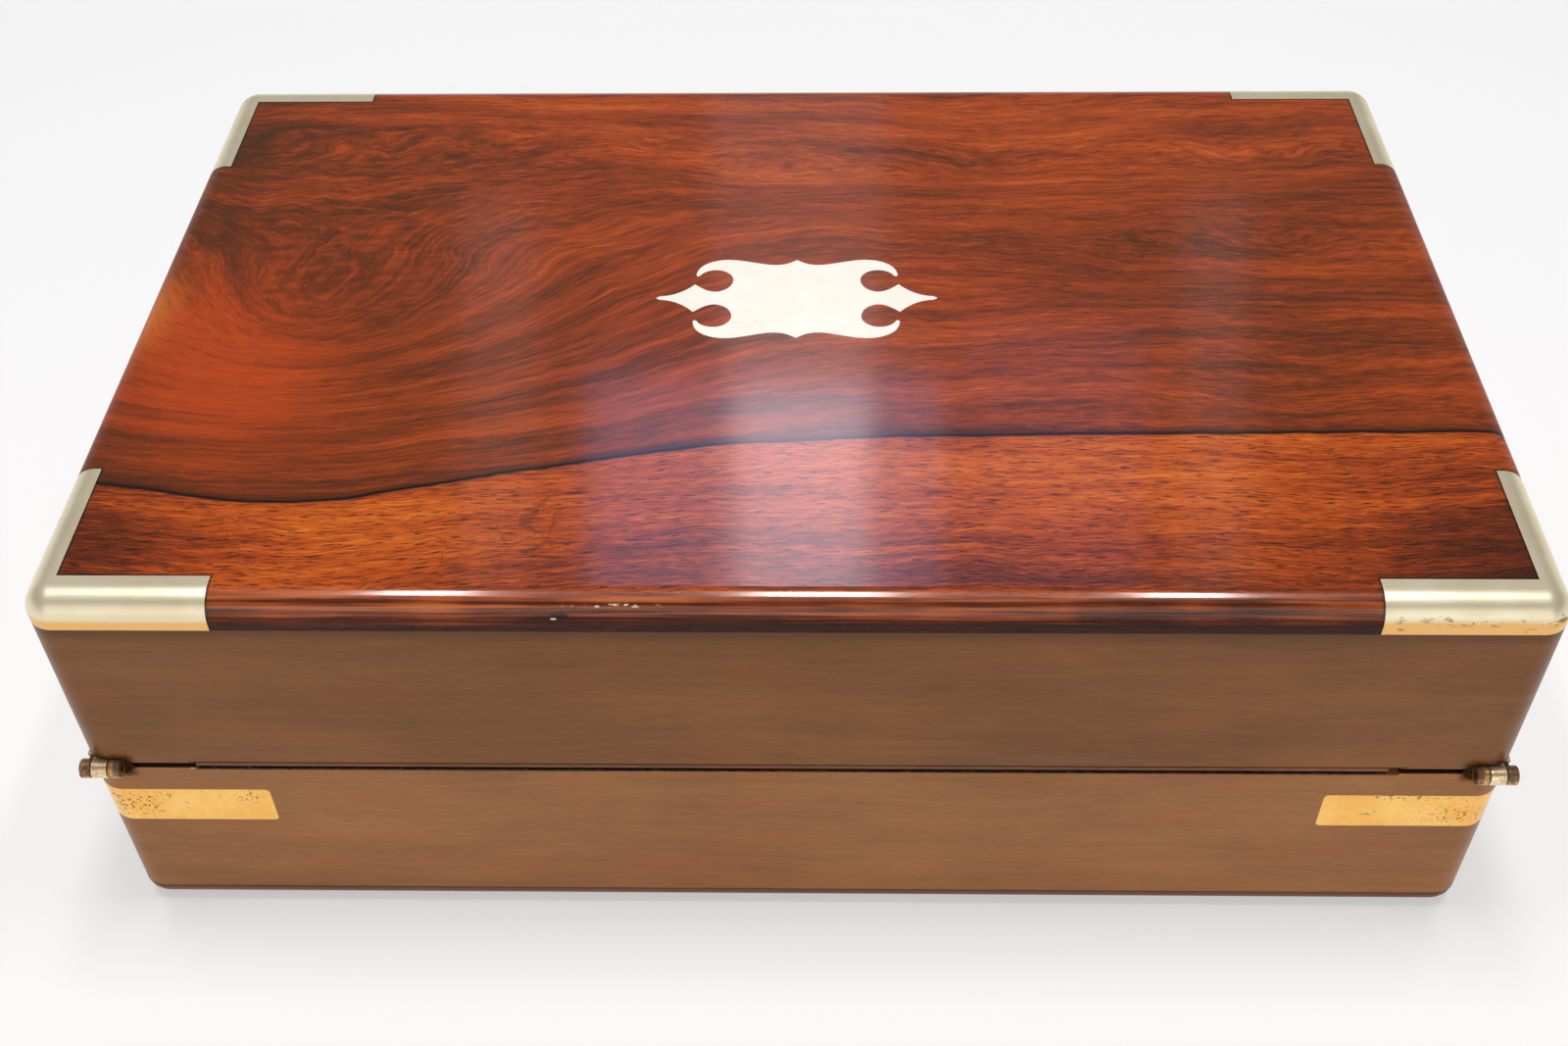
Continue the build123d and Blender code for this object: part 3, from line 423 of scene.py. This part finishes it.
def plain_rosewood(name, axis, tones, settings, shift=0.0, contrast=1.0, joint_shade_share=1.0):
    """Wall wood: straight quiet grain along one axis, with painted shade in the joint and under the top
    board, and a dark line at the foot.
    """
    f = Finish(name)
    low, high = tones
    along, side = (f.x, f.y) if axis == "X" else (f.y, f.x)
    drift = f.noise(f.place, 0.007, 2.0, 0.5) - 0.5
    bands, lines, hairs, pores = streaks(f, along, f.z + drift * 14.0 + side * 0.8 + shift)
    cloud = f.noise(f.vector(f.x * 0.5, f.y * 0.5, f.z), 0.022, 3.0, 0.55) - 0.5
    tone = f.clamp(0.5 + (bands * 0.45 + lines * 0.40 + hairs * 0.50) * contrast + cloud * 0.5)
    middle = tuple((a + b) / 2 for a, b in zip(low, high))
    colour = f.ramp(tone, [(0.26, low), (0.5, middle), (0.76, high)])
    pore = f.step(pores, 0.60, 0.70)
    colour = f.mix(pore * 0.28 * contrast, colour, tuple(c * 0.4 for c in low))
    warm = f.step(f.noise(f.vector(along * 0.5, side, f.z * 2.0 + shift), 0.05, 2.0, 0.5), 0.52, 0.66)
    colour = f.mix(warm * 0.12, colour, (high[0] * 1.2, high[1] * 0.8, high[2] * 0.6))

    # Painted shade in the joint of the shut box and in the groove below the strip; dark stains round the
    # hinges and a dark line at the bottom board.
    joint = off_the_joint(f)
    hinge_side = f.step(-f.y, HALF_Y - 3.4, HALF_Y - 1.6)
    from_middle = f.math("ABSOLUTE", f.x)
    gap_shade = f.step(f.math("ABSOLUTE", joint + 0.15), 1.00, 0.75) * hinge_side * joint_shade_share
    groove_shade = f.band(joint, 1.58, 0.24) * f.step(from_middle, STRIP_END_X, STRIP_END_X - 0.6)
    gap_shade = gap_shade + groove_shade * hinge_side * 0.9
    rough_edge = f.noise(f.place, 0.35, 3.0, 0.6)
    stain = f.step(from_hinge(f) + rough_edge * 5.0, 8.2, 5.6)
    stain = stain * f.step(from_middle, HALF_X - 16.0, HALF_X - 13.0)
    foot = f.band(f.z, FOOT_LINE, 0.40)
    # The joint's painted shade together with the stains round the hinges and the dark line at the foot.
    dirt_and_shade = f.clamp(gap_shade * 0.93 + stain * 0.8 + foot * 0.75)
    # Painted shade on the walls just under the rounded top board.
    shade_under_board = f.step(f.z, LID_BOARD_LOW - 5.7, LID_BOARD_LOW - 0.4)
    shade_under_board = shade_under_board * f.step(f.z, LID_BOARD_LOW + 0.8, LID_BOARD_LOW - 0.2)
    colour = f.mix(shade_under_board * 0.5, colour, tuple(c * 0.45 for c in low))
    colour = f.mix(dirt_and_shade, colour, linear(34, 21, 15))
    speck = f.step(f.noise(f.vector(f.x, f.y, f.z * 1.5), 0.8, 2.0, 0.5), 0.66, 0.70)
    speck = speck * f.band(joint, -1.25, 0.35) * f.step(-f.y, HALF_Y - 1.0, HALF_Y - 0.4)
    colour = f.mix(speck, colour, linear(214, 200, 182))
    waves = f.noise(f.place, 0.03, 2.0, 0.5) * 0.5 + hairs * 0.03
    return f.surface(
        Base_Color=colour,
        Roughness=f.clamp(0.40 + hairs * 0.2 + dirt_and_shade * 0.3),
        Normal=f.bump(waves, 0.18),
        Coat_Weight=f.clamp((1.0 - dirt_and_shade) * (settings.polish * 0.32)),
        Coat_Roughness=0.18,
        Specular_IOR_Level=0.06,
    )


# ------------------------------------------------------------------ metals, leather, glass
# Tarnish on the straps: x, z, half width and half height of each spot in mm, and strength.
STRAP_SPOTS = (
    (-193.0, 49.0, 6.0, 6.0, 1.0), (-183.0, 54.0, 2.0, 2.0, 1.0), (-159.0, 53.0, 4.0, 2.5, 1.0),
    (175.0, 56.0, 16.0, 1.6, 1.0), (190.0, 47.0, 8.0, 4.0, 1.0),
)


def brass(name, pale, deep, rough, tarnish=0.2, metal=1.0, spots=()):
    """Old brass: a soft drift of colour, fine scratches, and dark specks of tarnish."""
    f = Finish(name)
    cloud = f.noise(f.place, 0.06, 4.0, 0.6)
    scratch = f.noise(f.vector(f.x * 0.3, f.y * 3.0, f.z * 3.0), 1.2, 2.0, 0.5)
    colour = f.mix(f.step(cloud, 0.35, 0.65), pale, deep)
    patches = f.step(f.noise(f.place, 0.10, 3.0, 0.6), 0.58, 0.68)
    patches = patches + f.spots(spots, side=True)
    specks = f.step(f.noise(f.place, 0.75, 4.0, 0.66), 0.53, 0.60) * f.clamp(patches)
    pits = f.step(f.noise(f.place, 2.3, 2.0, 0.5), 0.72, 0.77)
    dull = f.clamp((specks * 0.9 + pits * 0.12) * tarnish)
    colour = f.mix(dull, colour, linear(98, 36, 16))
    return f.surface(
        Base_Color=colour,
        Metallic=f.clamp(metal - dull * 0.8),
        Roughness=f.clamp(rough + scratch * 0.10 + dull * 0.35 - 0.05),
        Normal=f.bump(cloud * 0.5 + scratch * 0.012 - dull * 0.06, 0.12),
    )


def mount_brass():
    """The lid's corner mounts: one brass painted with reflections, pale on top with some of its metal taken
    out, golden along the lower edge.
    """
    f = Finish("mount brass")
    cloud = f.noise(f.place, 0.05, 4.0, 0.6)
    right = f.step(f.x, 0.0, 40.0)
    # Painted reflection: golden along the lower edge, pale above it; the line sits a little higher on the
    # right-hand mounts.
    gold = f.step(f.z - right + (cloud - 0.5) * 2.4, TOP - 5.5, TOP - 7.5)
    pale = f.mix(f.step(cloud, 0.35, 0.65), linear(246, 235, 204), linear(238, 224, 188))
    colour = f.mix(gold * 0.9, pale, linear(240, 184, 100))
    scratch = f.noise(f.vector(f.x * 0.3, f.y * 3.0, f.z * 3.0), 1.2, 2.0, 0.5)
    worn = f.step(f.noise(f.place, 0.09, 3.0, 0.6), 0.56, 0.66)
    worn = worn + f.band(f.z, TOP - 5.4, 1.3) * f.step(f.x, 158.0, 168.0)
    worn = f.clamp(worn) * f.step(f.z, TOP - 1.0, TOP - 3.5)
    specks = f.step(f.noise(f.vector(f.x * 0.4, f.y, f.z), 0.7, 4.0, 0.66), 0.54, 0.61) * worn
    pits = f.step(f.noise(f.place, 1.6, 2.0, 0.5), 0.74, 0.78)
    dull = f.clamp(specks * 0.75 + pits * 0.5)
    colour = f.mix(dull, colour, linear(92, 62, 36))
    return f.surface(
        Base_Color=colour,
        Metallic=f.clamp(0.72 - dull * 0.5),
        Roughness=f.clamp(0.30 + scratch * 0.10 + dull * 0.3),
        Normal=f.bump(cloud * 0.5 + scratch * 0.06 - dull * 0.15, 0.12),
    )


def writing_leather(name, skin, settings):
    """Dark hide with a fine grain and a tooled gilt border."""
    f = Finish(name)
    grain = f.step(f.cells(f.place, 1.1), 0.0, 0.35)
    wear = f.noise(f.place, 0.016, 3.0, 0.55)
    fine = f.noise(f.place, 3.0, 2.0, 0.5)
    base = tuple(settings.leather)
    colour = f.mix(f.step(wear, 0.36, 0.70), tuple(c * 0.85 for c in base), tuple(c * 1.2 for c in base))
    colour = f.mix((1.0 - grain) * 0.40, colour, tuple(c * 0.45 for c in base))

    # The border: a broad line, a fine line, and small lozenges between them.
    half_x, low, high = skin
    up_slope = up_the_slope(f)
    from_left, from_right = f.x + half_x, half_x - f.x
    from_front, from_back = up_slope - low, high - up_slope
    across = f.math("MINIMUM", from_left, from_right)
    deep = f.math("MINIMUM", from_front, from_back)
    edge = f.math("MINIMUM", across, deep)
    run = f.step(deep - across, 0.1, -0.1) * f.x + f.step(deep - across, -0.1, 0.1) * up_slope
    beat = f.math("ABSOLUTE", f.math("PINGPONG", run, 3.5) - 1.75)
    lozenge = f.step(beat + f.math("ABSOLUTE", edge - 8.6) * 1.2, 1.45, 1.15)
    broad = f.step(f.math("ABSOLUTE", edge - 5.6), 0.62, 0.42)
    thin = f.step(f.math("ABSOLUTE", edge - 11.6), 0.34, 0.20)
    gilt = f.clamp((broad + thin + lozenge) * f.step(f.noise(f.place, 0.5, 3.0, 0.6), 0.34, 0.42))
    colour = f.mix(gilt, colour, linear(226, 176, 92))
    return f.surface(
        Base_Color=colour,
        Metallic=f.clamp(gilt * 0.9),
        Roughness=f.clamp(0.52 + wear * 0.12 - grain * 0.06 - gilt * 0.16),
        Normal=f.bump(grain * 0.7 + fine * 0.2 - gilt * 0.8, 0.12),
        Specular_IOR_Level=0.35,
    )


def joint_cloth():
    """Worn black cloth between the flaps."""
    f = Finish("joint cloth")
    weave = f.noise(f.vector(f.x * 1.5, f.y * 1.5, f.z), 1.0, 2.0, 0.6)
    worn = f.step(f.noise(f.place, 0.6, 3.0, 0.6), 0.60, 0.72) * f.step(-f.y, HALF_Y - 3.0, HALF_Y - 0.5)
    colour = f.mix(weave, (0.006, 0.006, 0.009), (0.020, 0.019, 0.022))
    colour = f.mix(worn * 0.6, colour, linear(120, 104, 88))
    return f.surface(
        Base_Color=colour, Roughness=0.95, Specular_IOR_Level=0.1, Normal=f.bump(weave, 0.15)
    )


def hinge_brass(name, pale, deep, dull_barrel):
    """A hinge leaf: clean brass where it lies in the wood, tarnished round the knuckle."""
    f = Finish(name)
    cloud = f.noise(f.place, 0.25, 4.0, 0.6)
    barrel = f.step(from_hinge(f), 4.4, 3.2)
    rubbed = f.step(f.noise(f.place, 0.9, 3.0, 0.6), 0.50, 0.62) * 0.3
    colour = f.mix(f.step(cloud, 0.38, 0.62), pale, deep)
    # Painted highlight on the middle barrel and painted golden reflection under the hinge axis: the tarnish
    # is taken away there.
    lit = f.band(f.math("ABSOLUTE", f.x), MIDDLE_BARREL_X, 0.9) * 0.7
    underside_reflection = f.step(f.z, HINGE_Z - 0.9, HINGE_Z - 1.7) * 0.6
    tarnish = f.step(cloud + f.noise(f.place, 1.2, 3.0, 0.6) * 0.5, 0.62, 0.80)
    dull = f.clamp(barrel * (dull_barrel + tarnish * 0.3 - lit - underside_reflection - rubbed) + tarnish * 0.15)
    colour = f.mix(dull, colour, linear(108, 74, 56))
    return f.surface(
        Base_Color=colour,
        Metallic=f.clamp(0.85 - dull * 0.5),
        Roughness=f.clamp(0.20 + dull * 0.26),
        Normal=f.bump(cloud * (0.05 + barrel * 0.55) - dull * 0.1 * barrel, 0.12),
    )


def old_glass():
    """Thick greenish glass with a slightly wavy face."""
    f = Finish("inkwell glass")
    waves = f.noise(f.place, 0.15, 2.0, 0.5)
    return f.surface(
        Base_Color=(0.86, 0.93, 0.90),
        Roughness=0.04,
        Transmission_Weight=1.0,
        IOR=1.5,
        Normal=f.bump(waves, 0.2),
    )


def dress(nodes, material):
    """Give the CAD nodes of these names one material."""
    for name in nodes:
        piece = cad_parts[name]
        piece.data.materials.clear()
        piece.data.materials.append(material)


# ------------------------------------------------------------------ settings
class WritingBoxSettings(bpy.types.PropertyGroup):
    """Colours and finishes of the box."""

    polish: FloatProperty(
        name="Polish", description="Strength of the French polish",
        default=1.0, min=0.0, max=1.0, subtype="FACTOR"
    )
    leather: FloatVectorProperty(
        name="Leather", description="Colour of the writing leather", default=(0.020, 0.060, 0.030),
        size=3, min=0.0, max=1.0, subtype="COLOR"
    )
    paper: FloatVectorProperty(
        name="Backdrop", description="Colour of the studio floor", default=(0.965, 0.96, 0.95),
        size=3, min=0.0, max=1.0, subtype="COLOR"
    )


# ------------------------------------------------------------------ operators
# Darkest and lightest tone of each plain wood.
LID_TONES = linear(100, 60, 28), linear(148, 96, 48)
BASE_TONES = linear(122, 75, 38), linear(176, 119, 66)
RIM_TONES = linear(62, 26, 13), linear(128, 60, 28)
BOTTOM_TONES = linear(86, 40, 22), linear(126, 62, 34)
TRAY_TONES = linear(92, 42, 20), linear(150, 76, 38)
INNER_TONES = linear(96, 58, 34), linear(150, 100, 62)
FLAP_TONES = linear(92, 52, 26), linear(142, 88, 46)

# Name, axis of the grain, tones, shift of the rings in mm, contrast, share of painted shade in the joint,
# nodes.
PLAIN_WOODS = (
    ("lid wall wood", "X", LID_TONES, 0.0, 0.6, 1.0, ["lid_hinge_wall", "lid_lock_wall"]),
    ("lid side wood", "Y", LID_TONES, 40.0, 0.6, 1.0, ["lid_left_wall", "lid_right_wall"]),
    ("base wall wood", "X", BASE_TONES, 90.0, 0.6, 1.0, ["base_hinge_wall", "base_lock_wall"]),
    ("base side wood", "Y", BASE_TONES, 140.0, 0.6, 1.0, ["base_left_wall", "base_right_wall"]),
    ("bottom wood", "X", BOTTOM_TONES, 0.0, 1.0, 1.0, ["base_bottom_board"]),
    ("rim wood", "Y", RIM_TONES, 10.0, 1.0, 1.0,
     ["base_left_rail", "base_right_rail", "lid_left_rail", "lid_right_rail"]),
    ("rim wood along", "X", RIM_TONES, 20.0, 1.0, 1.0,
     ["lid_lock_rail", "tray_divider", "left_partition", "right_partition", "base_flap_board"]),
    ("tray wood", "X", TRAY_TONES, 70.0, 1.0, 1.0, ["pen_tray"]),
    ("inner wood", "X", INNER_TONES, 60.0, 1.0, 1.0, ["ink_shelf", "tray_cleats"]),
    ("lid flap wood", "X", FLAP_TONES, 20.0, 1.0, 0.0, ["lid_flap_board"]),
)


class WRITINGBOX_OT_wood(bpy.types.Operator):
    """Polish the rosewood of the outside and of the rims"""

    bl_idname = "writingbox.wood"
    bl_label = "Rosewood"

    def execute(self, context):
        settings = context.scene.writing_box
        dress(["lid_top_board"], figured_rosewood(settings))
        for name, axis, tones, shift, contrast, joint_shade_share, nodes in PLAIN_WOODS:
            dress(nodes, plain_rosewood(name, axis, tones, settings, shift, contrast, joint_shade_share))
        return {"FINISHED"}


# The small brass pieces that share one finish.
FITTINGS = (
    "base_hinge_screws", "lid_hinge_screws", "lock_case_screws", "link_plate_screws",
    "keyhole_escutcheon", "left_inkwell_cap", "right_inkwell_cap", "lock_case", "lock_link_plate",
    "flap_catch_plate", "flap_catch_bolt", "base_flap_pins", "lid_flap_pins",
)


class WRITINGBOX_OT_brass(bpy.types.Operator):
    """Finish the mounts, straps, plate, hinges and lock"""

    bl_idname = "writingbox.brass"
    bl_label = "Brass"

    def execute(self, context):
        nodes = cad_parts
        dress([n for n in nodes if n.startswith("lid_mount")], mount_brass())
        gold = linear(255, 206, 116), linear(250, 190, 96)
        dress([n for n in nodes if n.startswith("base_strap")],
              brass("strap brass", *gold, 0.28, 1.0, 0.85, STRAP_SPOTS))
        # The name plate is near-white with little metal: a painted reflection of bright light on polished
        # metal.
        dress(["name_plate"],
              brass("plate brass", linear(249, 246, 230), linear(246, 242, 222), 0.34, 0.10, 0.22))
        dress(["left_base_hinge_leaf", "right_base_hinge_leaf"],
              hinge_brass("hinge brass", linear(238, 196, 128), linear(210, 160, 96), 0.75))
        dress(["left_lid_hinge_leaf", "right_lid_hinge_leaf"],
              hinge_brass("hinge brass bright", linear(255, 238, 204), linear(250, 222, 168), -0.1))
        dress(["left_hinge_pin", "right_hinge_pin", "lock_bolt"],
              brass("steel", linear(120, 114, 108), linear(92, 86, 82), 0.4, 0.6))
        dress(FITTINGS, brass("fitting brass", linear(236, 200, 132), linear(222, 178, 104), 0.26, 0.2))
        return {"FINISHED"}


# The leathers on the slope: node, body, which way they face, then half width,
# lower and upper edge up the slope, mm.
SKINS = (
    ("base_flap_leather", "base", 1, (165.9, 17.1, 179.6)),
    ("lid_flap_leather", "lid", -1, (165.9, 17.45, 222.4)),
)
# Thickness of the leather and height of its face off the joint plane, mm.
SKIN_THICK, SKIN_FACE = 0.9, -0.86
# The tooled border, from the edge inwards: width and depth of each step, mm.
TOOLING = (
    (5.05, 0.0), (0.12, -0.10), (0.86, 0.0), (0.12, 0.10),
    (5.15, 0.0), (0.08, -0.06), (0.44, 0.0), (0.08, 0.06), (3.0, 0.0),
)


def lay_on_slope(piece, turn=0.0):
    """Bring a piece made flat, with y up the slope and z off it, to its place on the joint."""
    place = Matrix.Translation((0.0, HINGE_Y * MM, HINGE_Z * MM))
    piece.matrix_world = place @ Matrix.Rotation(SLOPE, 4, "X") @ Matrix.Rotation(turn, 4, "Y")
    bpy.ops.object.transform_apply(location=True, rotation=True, scale=True)


def apply_modifier(piece, kind, **settings):
    """Add a modifier with its settings and apply it."""
    modifier = piece.modifiers.new(kind.lower(), kind)
    for key, value in settings.items():
        setattr(modifier, key, value)
    bpy.ops.object.modifier_apply(modifier=modifier.name)


class WRITINGBOX_OT_leathers(bpy.types.Operator):
    """Lay the tooled leathers on the two writing flaps"""

    bl_idname = "writingbox.leathers"
    bl_label = "Writing leathers"

    def execute(self, context):
        settings = context.scene.writing_box
        for node, body, facing, skin in SKINS:
            self.skin(settings, node, body, facing, skin)
        return {"FINISHED"}

    def skin(self, settings, node, body, facing, skin):
        """One leather, made flat with its border pressed in and then turned to its flap."""
        half_x, low, high = skin
        bpy.ops.object.select_all(action="DESELECT")
        bpy.ops.mesh.primitive_plane_add(size=1.0)
        piece = bpy.context.object
        piece.name = node.replace("flap_leather", "tooled_leather")
        piece.scale = (2.0 * half_x * MM, (high - low) * MM, 1.0)
        piece.location = (0.0, (low + high) / 2.0 * MM, SKIN_FACE * MM)
        bpy.ops.object.transform_apply(location=True, rotation=True, scale=True)

        # Press the two lines of the border, then let the middle swell a little off its board.
        bpy.ops.object.mode_set(mode="EDIT")
        bpy.ops.mesh.select_all(action="SELECT")
        for width, depth in TOOLING:
            bpy.ops.mesh.inset(thickness=width * MM, depth=depth * MM)
        bpy.ops.mesh.subdivide(number_cuts=47)
        bpy.ops.transform.vertex_random(offset=0.45 * MM, uniform=0.0, normal=1.0, seed=4)
        for _ in range(3):
            bpy.ops.mesh.vertices_smooth(factor=0.5, repeat=10, xaxis=False, yaxis=False)
        bpy.ops.object.mode_set(mode="OBJECT")
        apply_modifier(piece, "SOLIDIFY", thickness=SKIN_THICK * MM, offset=-1.0)
        sharp = math.radians(60.0)
        apply_modifier(piece, "BEVEL", width=0.22 * MM, segments=3, limit_method="ANGLE", angle_limit=sharp)
        bpy.ops.object.shade_smooth_by_angle(angle=math.radians(40.0))
        lay_on_slope(piece, 0.0 if facing > 0 else math.pi)
        piece.data.materials.clear()
        piece.data.materials.append(writing_leather(piece.name, skin, settings))
        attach(piece, body)
        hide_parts(node)


# The cloth: its left and right ends, its edges up the slope, its thickness and its face, mm.
CLOTH_X = (-170.3, 167.3)
CLOTH_Y = (1.0, 15.9)
CLOTH_THICK, CLOTH_FACE = 0.62, -0.95


class WRITINGBOX_OT_cloth(bpy.types.Operator):
    """Glue the worn black cloth across the joint of the flaps"""

    bl_idname = "writingbox.cloth"
    bl_label = "Joint cloth"

    def execute(self, context):
        (left, right), (low, high) = CLOTH_X, CLOTH_Y
        bpy.ops.object.select_all(action="DESELECT")
        bpy.ops.mesh.primitive_grid_add(x_subdivisions=220, y_subdivisions=12, size=1.0)
        piece = context.object
        piece.name = "worn_joint_cloth"
        piece.scale = ((right - left) * MM, (high - low) * MM, 1.0)
        piece.location = ((left + right) / 2.0 * MM, (low + high) / 2.0 * MM, CLOTH_FACE * MM)
        bpy.ops.object.transform_apply(location=True, rotation=True, scale=True)
        bpy.ops.object.mode_set(mode="EDIT")
        bpy.ops.mesh.select_all(action="SELECT")
        bpy.ops.transform.vertex_random(offset=0.5 * MM, uniform=0.0, normal=1.0, seed=7)
        bpy.ops.mesh.vertices_smooth(factor=0.5, repeat=6, xaxis=False, yaxis=False)
        bpy.ops.object.mode_set(mode="OBJECT")

        # The outer edge is frayed.
        for vertex in piece.data.vertices:
            if vertex.co.y < (low + 0.1) * MM:
                along = vertex.co.x / MM
                vertex.co.y += math.sin(along * 2.3) * math.sin(along * 0.71) * 0.16 * MM
        apply_modifier(piece, "SOLIDIFY", thickness=CLOTH_THICK * MM, offset=-1.0)
        bpy.ops.object.shade_smooth_by_angle(angle=math.radians(50.0))
        lay_on_slope(piece)
        piece.data.materials.clear()
        piece.data.materials.append(joint_cloth())
        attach(piece, "base")
        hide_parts("base_joint_cloth")
        return {"FINISHED"}


class WRITINGBOX_OT_glass(bpy.types.Operator):
    """Make the inkwells of old glass"""

    bl_idname = "writingbox.glass"
    bl_label = "Inkwell glass"

    def execute(self, context):
        dress(["left_inkwell_glass", "right_inkwell_glass"], old_glass())
        return {"FINISHED"}


# The camera in m, its yaw, pitch down and roll in radians, and its lens in mm.
CAMERA_PLACE = Vector((0.0077, -0.4380, 0.4702))
CAMERA_TURN = (-0.0292, 0.7768, -0.0184)
CAMERA_LENS = 40.71

# Brightness of the sky by height, as the sine of its elevation.
SKY = [
    (0.0, (0.95, 0.945, 0.93)), (0.12, (0.62, 0.62, 0.61)), (0.34, (0.165, 0.165, 0.16)),
    (0.84, (0.15, 0.15, 0.145)), (0.96, (0.60, 0.60, 0.60)),
]

# The lamps: name, place, aim and size in m, watts, colour.
LAMPS = [
    ("strip_left", (-0.405, 0.0, 1.5), (-0.405, 0.0, 0.1), (0.09, 0.50), 4.6, (1.0, 0.98, 1.0)),
    ("strip_middle", (0.006, 0.0, 1.5), (0.006, 0.0, 0.1), (0.14, 0.50), 6.6, (1.0, 0.98, 1.0)),
    ("strip_right", (0.383, 0.0, 1.5), (0.383, 0.0, 0.1), (0.09, 0.50), 4.6, (1.0, 0.98, 1.0)),
    ("front", (0.1, -2.4, 1.1), (0.0, 0.0, 0.05), (3.4, 1.7), 16.5, (1.0, 0.96, 0.90)),
    ("window", (-0.10, 2.0, 2.16), (-0.10, 0.0, 0.13), (0.68, 0.50), 2.1, (0.40, 0.54, 1.0)),
    ("window_right", (0.45, 2.0, 2.1), (0.45, 0.0, 0.13), (0.34, 0.60), 0.36, (0.40, 0.48, 1.0)),
    ("band_left", (-0.59, 2.0, 2.0), (-0.59, 0.0, 0.13), (0.14, 0.90), 0.16, (0.84, 0.88, 1.0)),
    ("band_middle", (-0.03, 2.0, 2.22), (-0.03, 0.0, 0.13), (0.26, 0.54), 1.9, (1.0, 0.82, 0.88)),
    ("band_lower", (-0.03, 2.0, 1.80), (-0.03, 0.0, 0.13), (0.26, 0.28), 0.26, (0.90, 0.88, 1.0)),
    ("band_above", (-0.03, 2.0, 1.4), (-0.03, 0.0, 0.13), (0.28, 0.50), 0.16, (0.90, 0.88, 1.0)),
    ("band_right", (0.73, 2.0, 2.0), (0.73, 0.0, 0.13), (0.12, 0.90), 0.14, (0.84, 0.88, 1.0)),
]

# Share of the studio paper's own light, to the camera, to metal and to glass.
PAPER_GLOW = 0.45


class WRITINGBOX_OT_stage(bpy.types.Operator):
    """Set the floor, the lamps and the camera"""

    bl_idname = "writingbox.stage"
    bl_label = "Studio"

    def execute(self, context):
        settings = context.scene.writing_box
        self.floor(settings)
        self.world(context)
        self.lamps(context)
        self.camera(context)
        context.scene.view_settings.view_transform = "Standard"
        return {"FINISHED"}

    def floor(self, settings):
        """Pale paper. Its own light is only seen, so the box's shadow on it stays."""
        bpy.ops.mesh.primitive_plane_add(size=12.0, location=(0.0, 0.0, 0.0))
        floor = bpy.context.object
        floor.name = "studio_floor"
        f = Finish("studio paper")
        paper = f.shader(Base_Color=tuple(settings.paper), Roughness=0.9, Specular_IOR_Level=0.1)
        seen = f.node("ShaderNodeLightPath", out="Is Camera Ray")
        for ray in ("Is Glossy Ray", "Is Transmission Ray"):
            seen = f.math("MAXIMUM", seen, f.node("ShaderNodeLightPath", out=ray))
        glow = f.node("ShaderNodeEmission")
        both = f.node("ShaderNodeMixShader", None, {0: seen * PAPER_GLOW, 1: paper, 2: glow})
        floor.data.materials.append(f.close(both))

    def world(self, context):
        """A soft sky: pale at the horizon, dim above it, lighter overhead."""
        context.scene.world = bpy.data.worlds.new("studio")
        f = Finish("studio sky", context.scene.world, "Generated")
        sky = f.node("ShaderNodeBackground", None, {"Color": f.ramp(f.z * MM, SKY)})
        f.close(sky, "ShaderNodeOutputWorld")

    def lamps(self, context):
        for name, place, aim, size, power, colour in LAMPS:
            data = bpy.data.lights.new(name, "AREA")
            data.shape = "RECTANGLE"
            data.size, data.size_y = size
            data.energy = power
            data.color = colour
            lamp = bpy.data.objects.new(name, data)
            lamp.location = place
            lamp.rotation_euler = (Vector(aim) - Vector(place)).to_track_quat("-Z", "Y").to_euler()
            context.scene.collection.objects.link(lamp)

    def camera(self, context):
        yaw, pitch, roll = CAMERA_TURN
        ahead = Vector((math.sin(yaw) * math.cos(pitch), math.cos(yaw) * math.cos(pitch), -math.sin(pitch)))
        right = Vector((math.cos(yaw), -math.sin(yaw), 0.0))
        up = right.cross(ahead)
        across = right * math.cos(roll) + up * math.sin(roll)
        above = up * math.cos(roll) - right * math.sin(roll)
        turn = Matrix((across, above, -ahead)).transposed().to_4x4()
        data = bpy.data.cameras.new("camera")
        data.sensor_fit = "HORIZONTAL"
        data.sensor_width = 36.0
        data.lens = CAMERA_LENS
        data.clip_start = 0.01
        camera = bpy.data.objects.new("camera", data)
        camera.matrix_world = Matrix.Translation(CAMERA_PLACE) @ turn
        context.scene.collection.objects.link(camera)
        context.scene.camera = camera


class WRITINGBOX_PT_panel(bpy.types.Panel):
    """The box's settings and its steps"""

    bl_label = "Writing Box"
    bl_idname = "WRITINGBOX_PT_panel"
    bl_space_type = "VIEW_3D"
    bl_region_type = "UI"
    bl_category = "Writing Box"

    def draw(self, context):
        layout = self.layout
        settings = context.scene.writing_box
        for name in ("polish", "leather", "paper"):
            layout.prop(settings, name)
        for operator in OPERATORS:
            layout.operator(operator.bl_idname)


OPERATORS = (
    WRITINGBOX_OT_wood,
    WRITINGBOX_OT_brass,
    WRITINGBOX_OT_leathers,
    WRITINGBOX_OT_cloth,
    WRITINGBOX_OT_glass,
    WRITINGBOX_OT_stage,
)
CLASSES = (WritingBoxSettings,) + OPERATORS + (WRITINGBOX_PT_panel,)


def register():
    for made in CLASSES:
        bpy.utils.register_class(made)
    bpy.types.Scene.writing_box = PointerProperty(type=WritingBoxSettings)


def unregister():
    del bpy.types.Scene.writing_box
    for made in reversed(CLASSES):
        bpy.utils.unregister_class(made)


def main():
    register()
    bpy.ops.object.select_all(action="DESELECT")
    for operator in OPERATORS:
        group, name = operator.bl_idname.split(".")
        getattr(getattr(bpy.ops, group), name)()
    bpy.context.view_layer.update()


if __name__ == "__main__":
    main()
